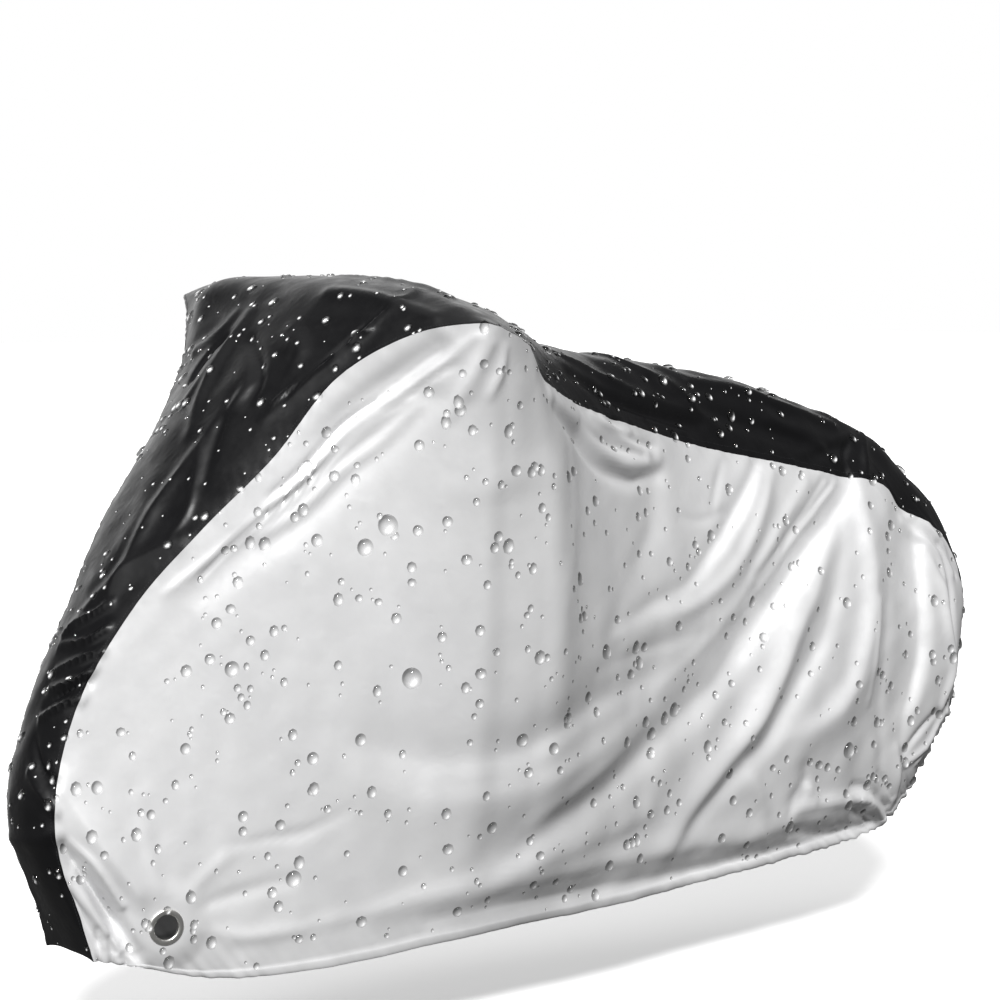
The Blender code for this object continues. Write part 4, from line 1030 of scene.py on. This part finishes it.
class CoverColours(bpy.types.PropertyGroup):
    """Colours of the cover"""

    silver: hex_colour("Silver", "Coating of the side panels", "#DBDBDB")
    silver_dust: hex_colour("Dusty silver", "The same where it is dull", "#CFCFD0")
    black: hex_colour("Black", "Coating of the top panel", "#08080A")
    black_dust: hex_colour("Dusty black", "The same where it is dull", "#101011")
    thread: hex_colour("Thread", "Thread of the hem", "#B9BABC")
    dark_thread: hex_colour("Dark thread", "Thread of the seams", "#17171A")
    metal: hex_colour("Metal", "Nickel plate of the eyelets", "#E9E8E4")
    floor: hex_colour("Floor", "Studio floor", "#F7F7F7")


def settings():
    return bpy.context.scene.cover_sizes, bpy.context.scene.cover_colours


# ---------------------------------------------------------------- operators


class COVER_OT_panels(bpy.types.Operator):
    """Sews the side panels and the top panel, and lays out the skin that the rain falls on"""

    bl_idname = "cover.panels"
    bl_label = "Panels"

    def execute(self, context):
        sizes, colours = settings()
        points, normal, half, near_seam, far_seam = cloth_grid(sizes)
        silver = coated_taffeta(
            "silver_coated_taffeta", colours.silver, colours.silver_dust,
            metallic=0.3, roughness=0.42, gleam=0.5, creased=1.0,
        )
        black = coated_taffeta(
            "black_coated_taffeta", colours.black, colours.black_dust,
            metallic=0.0, roughness=0.36, gleam=0.3, creased=2.2,
        )
        for name, first, last, hole_side, material in (
            ("silver_side_near", 0, near_seam, -1, silver),
            ("black_top", near_seam, far_seam, 0, black),
            ("silver_side_far", far_seam, points.shape[1] - 1, 1, silver),
        ):
            # An edge at a seam is drawn back by half the gap.
            own = points.copy()
            for seam, inward in ((first, 1), (last, -1)):
                if seam in (near_seam, far_seam):
                    own[:, seam] += unit(own[:, seam + inward] - own[:, seam]) * sizes.seam_gap / 2
            block = (slice(None), slice(first, last + 1))
            mesh = panel_mesh(name, own[block], normal[block], half[block], hole_side)
            mesh.materials.append(material)
            piece = linked(name, mesh)
            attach(piece, BODY)
        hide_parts("side_panel_near", "eyelet_strip_near")
        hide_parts("side_panel_far", "eyelet_strip_far")
        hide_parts("top_panel")
        # The rain's skin is the outer face, a little coarser, without the casing of the hem.
        casing = len(CASING_ROWS)
        outer = (points + normal * half)[::2, casing:-casing:2]
        quads = grid_quads(*outer.shape[:2]).reshape(-1, 4)
        skin = bpy.data.meshes.new("rain_skin")
        skin.from_pydata(outer.reshape(-1, 3).tolist(), [], quads.tolist())
        linked("scattered_rain", skin)
        return {"FINISHED"}


class COVER_OT_stitches(bpy.types.Operator):
    """Sews a row of stitches beside each seam and along the top of the hem's casing"""

    bl_idname = "cover.stitches"
    bl_label = "Stitches"

    STATIONS = 700  # places along each row where the cloth is measured
    IN_CASING = 0.94  # of the casing's width, from its edge up to the row that closes it
    CLEAR = 0.0002  # from the face of the cloth to the middle of the thread
    STEP = 0.002  # to each side of the row, for the slope of the cloth

    def execute(self, context):
        sizes, colours = settings()
        t = stations(self.STATIONS)
        drop, arch = edge_lengths(t)
        seam = 1 - sizes.topstitch / arch
        hem = 2 - np.minimum(self.IN_CASING * sizes.casing / drop, WIDEST_CASING)
        tree = stitch_tree()
        for name, place, thread in (
            ("seam_stitches", seam, sewing_thread("black_thread", colours.dark_thread)),
            ("hem_stitches", hem, sewing_thread("grey_thread", colours.thread)),
        ):
            verts, edges, out = [], [], []
            for v in (-place, place):
                line, across = cloth_beside(t, v, self.STEP)
                normal = unit(np.cross(np.gradient(line, axis=0), across))
                line = line - REST_POINT + normal * (sizes.cloth / 2 + self.CLEAR)
                edges += [(len(verts) + k, len(verts) + k + 1) for k in range(len(line) - 1)]
                verts += line.tolist()
                out += normal.tolist()
            mesh = bpy.data.meshes.new(name)
            mesh.from_pydata(verts, edges, [])
            mesh.attributes.new("out", "FLOAT_VECTOR", "POINT").data.foreach_set("vector", np.ravel(out))
            stitch = {"Pitch": sizes.stitch_pitch, "Length": sizes.stitch_length, "Width": sizes.thread}
            piece = grown(linked(name, mesh), tree, {**stitch, "Material": thread})
            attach(piece, BODY)
        return {"FINISHED"}


class COVER_OT_eyelets(bpy.types.Operator):
    """Presses a rolled ring into each side panel"""

    bl_idname = "cover.eyelets"
    bl_label = "Eyelets"

    FACE = 0.0011  # from the middle of the cloth to the flat of the ring
    SHEET = 0.0005  # thickness of the metal at its outer edge, which flares a little
    FLARE = 0.0001
    FLAT_FROM = 0.0012  # from the hole out to the flat
    ROLL_FROM = 0.0004  # from the hole out to the roll
    ROLL_FOOT = 0.0006  # from the flat up to where the roll begins
    ROLL = 0.0019  # height of the roll, and the power that fills it out
    ROLL_FULL = 0.8
    ROLL_POINTS = 9
    STEPS_AROUND = 72

    def execute(self, context):
        sizes, colours = settings()
        metal = nickel_plate("nickel_plated_brass", colours.metal)
        face, hole, reach = self.FACE, sizes.ring_hole, sizes.ring_reach
        inner = hole + self.ROLL_FROM
        front = [(hole + self.FLAT_FROM, face), (reach, face), (reach + self.FLARE, face + self.SHEET)]
        for angle in np.linspace(0, math.pi, self.ROLL_POINTS):
            radius = (inner + reach) / 2 + (reach - inner) / 2 * math.cos(angle)
            height = self.ROLL_FOOT + self.ROLL * math.sin(angle) ** self.ROLL_FULL
            front.append((radius, face + height))
        front.append((hole, face - self.ROLL_FROM))
        profile = [(radius, 0, -height) for radius, height in front]
        profile += [(radius, 0, height) for radius, height in reversed(front)]
        for side, word in ((-1, "near"), (1, "far")):
            mesh = bpy.data.meshes.new("ring")
            count = len(profile)
            mesh.from_pydata(profile, [(k, (k + 1) % count) for k in range(count)], [])
            ring = linked("rolled_eyelet_" + word, mesh)
            turn = ring.modifiers.new("turned", "SCREW")
            turn.steps = turn.render_steps = self.STEPS_AROUND
            turn.use_merge_vertices = True
            turn.merge_threshold = 0.00001
            applied(ring)
            middle, normal = eyelet_plane(side)
            place = Matrix.Translation(Vector(middle - REST_POINT))
            ring.data.transform(place @ Vector(normal).to_track_quat("Z", "Y").to_matrix().to_4x4())
            ring.data.shade_smooth()
            ring.data.materials.clear()
            ring.data.materials.append(metal)
            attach(ring, BODY)
            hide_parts("eyelet_" + word)
        return {"FINISHED"}


class COVER_OT_rain(bpy.types.Operator):
    """Lets rain stand on the cover in beads"""

    bl_idname = "cover.rain"
    bl_label = "Rain"

    SEED = 4
    SMALL_SEGMENTS = 8
    LARGE_SEGMENTS = 20
    DRAWN_OUT = 1.12  # length of a large bead downhill, for its width
    STEPS = (0.02, 0.004)  # along and across, for the slope of the cloth under it

    def execute(self, context):
        sizes, _ = settings()
        water = rain_water("rain_water")
        self.scatter(sizes, water)
        self.set_large_beads(sizes, water)
        return {"FINISHED"}

    def scatter(self, sizes, water):
        bead = linked("bead", bead_mesh(self.SMALL_SEGMENTS))
        inputs = {
            "Per square metre": sizes.beads,
            "Smallest": sizes.smallest_bead,
            "Largest": sizes.largest_bead,
            "Seed": self.SEED,
            "Bead": bead,
            "Material": water,
        }
        rain = grown(bpy.data.objects["scattered_rain"], bead_tree(), inputs)
        bpy.data.objects.remove(bead)
        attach(rain, BODY)

    def set_large_beads(self, sizes, water):
        large = bead_mesh(self.LARGE_SEGMENTS)
        work = bmesh.new()
        t, v, width = (np.array(LARGE_BEADS) / (1, 100, 1000)).T
        along, beside = self.STEPS
        line, across = cloth_beside(t, v, beside)
        ahead, _ = cloth_beside(t + along, v, beside)
        for point, out, size in zip(line, unit(np.cross(ahead - line, across)), width):
            downhill = unit(np.array((0, 0, -1.0)) + out * out[2])
            turn = Matrix(np.column_stack([np.cross(downhill, out), downhill, out]).tolist()).to_4x4()
            place = Matrix.Translation(Vector(point - REST_POINT + out * sizes.cloth / 2))
            copy = large.copy()
            copy.transform(place @ turn @ Matrix.Diagonal((size, size * self.DRAWN_OUT, size, 1)))
            work.from_mesh(copy)
            bpy.data.meshes.remove(copy)
        mesh = meshed("large_beads", work)
        mesh.materials.append(water)
        piece = linked("large_beads", mesh)
        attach(piece, BODY)


class COVER_OT_stage(bpy.types.Operator):
    """Sets the floor, the lamps and the camera"""

    bl_idname = "cover.stage"
    bl_label = "Stage"

    FLOOR = 40  # half its width, so that its edge stays out of sight

    # The camera stands 4.67 m from the middle of the bicycle and 1.2 m up, 38 degrees round from square-on.
    # It looks 18 mm to the left and 225 mm down for every 2793 mm ahead.
    ROUND = math.radians(38.3)
    AWAY = 4.67
    UP = 1.2
    TURN_LEFT = math.atan2(18, 2793)
    TILT_DOWN = math.atan2(225, 2793)
    LENS = 100.5
    SENSOR = 36

    # Lights: name, the way each comes from, its width in degrees and its strength; and the light all round
    LIGHTS = (
        ("key", (-0.45, -0.60, 0.66), 14.0, 5.65),
        ("left", (-0.95, -0.1, 0.3), 50.0, 0.5),
        ("overhead", (0.05, 0.1, 1.0), 70.0, 0.45),
        ("behind", (0.35, 0.9, 0.2), 60.0, 0.9),
    )
    ROUND_LIGHT = 0.13

    def execute(self, context):
        sizes, colours = settings()
        self.lay_floor(sizes, colours)
        self.hang_lamps()
        self.stand_camera(sizes)
        return {"FINISHED"}

    def lay_floor(self, sizes, colours):
        work = bmesh.new()
        bmesh.ops.create_grid(work, x_segments=2, y_segments=2, size=self.FLOOR)
        mesh = meshed("studio_floor", work)
        mesh.transform(Matrix.Translation((0, 0, -sizes.ground)))
        mesh.materials.append(studio_floor("backlit_white_acrylic", colours.floor))
        floor = linked("studio_floor", mesh)
        # Black flags under the set keep the floor's glow off the cloth.
        floor.visible_diffuse = False
        floor.visible_glossy = False

    def hang_lamps(self):
        for name, way, width, strength in self.LIGHTS:
            light = bpy.data.lights.new(name, "SUN")
            light.angle = math.radians(width)
            light.energy = strength
            lamp = linked(name, light)
            lamp.rotation_mode = "QUATERNION"
            lamp.rotation_quaternion = (-Vector(way)).to_track_quat("-Z", "Y")
        # A white studio whose walls give little light of their own
        world = bpy.data.worlds.new("studio")
        world.use_nodes = True
        tree = world.node_tree
        dim = tree.nodes["Background"]
        dim.inputs["Color"].default_value = WHITE
        dim.inputs["Strength"].default_value = self.ROUND_LIGHT
        wall = add_node(tree, "ShaderNodeBackground", {"Color": WHITE, "Strength": 1.0})
        ray = add_node(tree, "ShaderNodeLightPath")
        links = {0: (ray, "Is Camera Ray"), 1: (dim, 0), 2: (wall, 0)}
        both = add_node(tree, "ShaderNodeMixShader", {}, links)
        joined(tree.nodes["World Output"], {"Surface": (both, 0)})
        bpy.context.scene.world = world
        bpy.context.scene.view_settings.view_transform = "Standard"

    def stand_camera(self, sizes):
        turned = self.ROUND - self.TURN_LEFT
        level = math.cos(self.TILT_DOWN)
        forward = Vector((math.sin(turned) * level, math.cos(turned) * level, -math.sin(self.TILT_DOWN)))
        data = bpy.data.cameras.new("camera")
        data.lens = self.LENS
        data.sensor_width = self.SENSOR
        camera = linked("camera", data)
        across, along = self.AWAY * math.cos(self.ROUND), self.AWAY * math.sin(self.ROUND)
        camera.location = (-along - REST_POINT[0], -across, self.UP - sizes.ground)
        camera.rotation_mode = "QUATERNION"
        camera.rotation_quaternion = forward.to_track_quat("-Z", "Y")
        bpy.context.scene.camera = camera


class COVER_PT_panel(bpy.types.Panel):
    """The cover's steps and settings"""

    bl_label = "Bicycle cover"
    bl_space_type = "VIEW_3D"
    bl_region_type = "UI"
    bl_category = "Cover"

    def draw(self, context):
        for operator in OPERATORS:
            self.layout.operator(operator.bl_idname)
        for group in settings():
            for name in group.__annotations__:
                self.layout.prop(group, name)


OPERATORS = (COVER_OT_panels, COVER_OT_stitches, COVER_OT_eyelets, COVER_OT_rain, COVER_OT_stage)
CLASSES = (CoverSizes, CoverColours, *OPERATORS, COVER_PT_panel)


def register():
    for made in CLASSES:
        bpy.utils.register_class(made)
    bpy.types.Scene.cover_sizes = bpy.props.PointerProperty(type=CoverSizes)
    bpy.types.Scene.cover_colours = bpy.props.PointerProperty(type=CoverColours)


def unregister():
    del bpy.types.Scene.cover_colours
    del bpy.types.Scene.cover_sizes
    for made in reversed(CLASSES):
        bpy.utils.unregister_class(made)


def main():
    register()
    bpy.ops.cover.panels()
    bpy.ops.cover.stitches()
    bpy.ops.cover.eyelets()
    bpy.ops.cover.rain()
    bpy.ops.cover.stage()


if __name__ == "__main__":
    main()
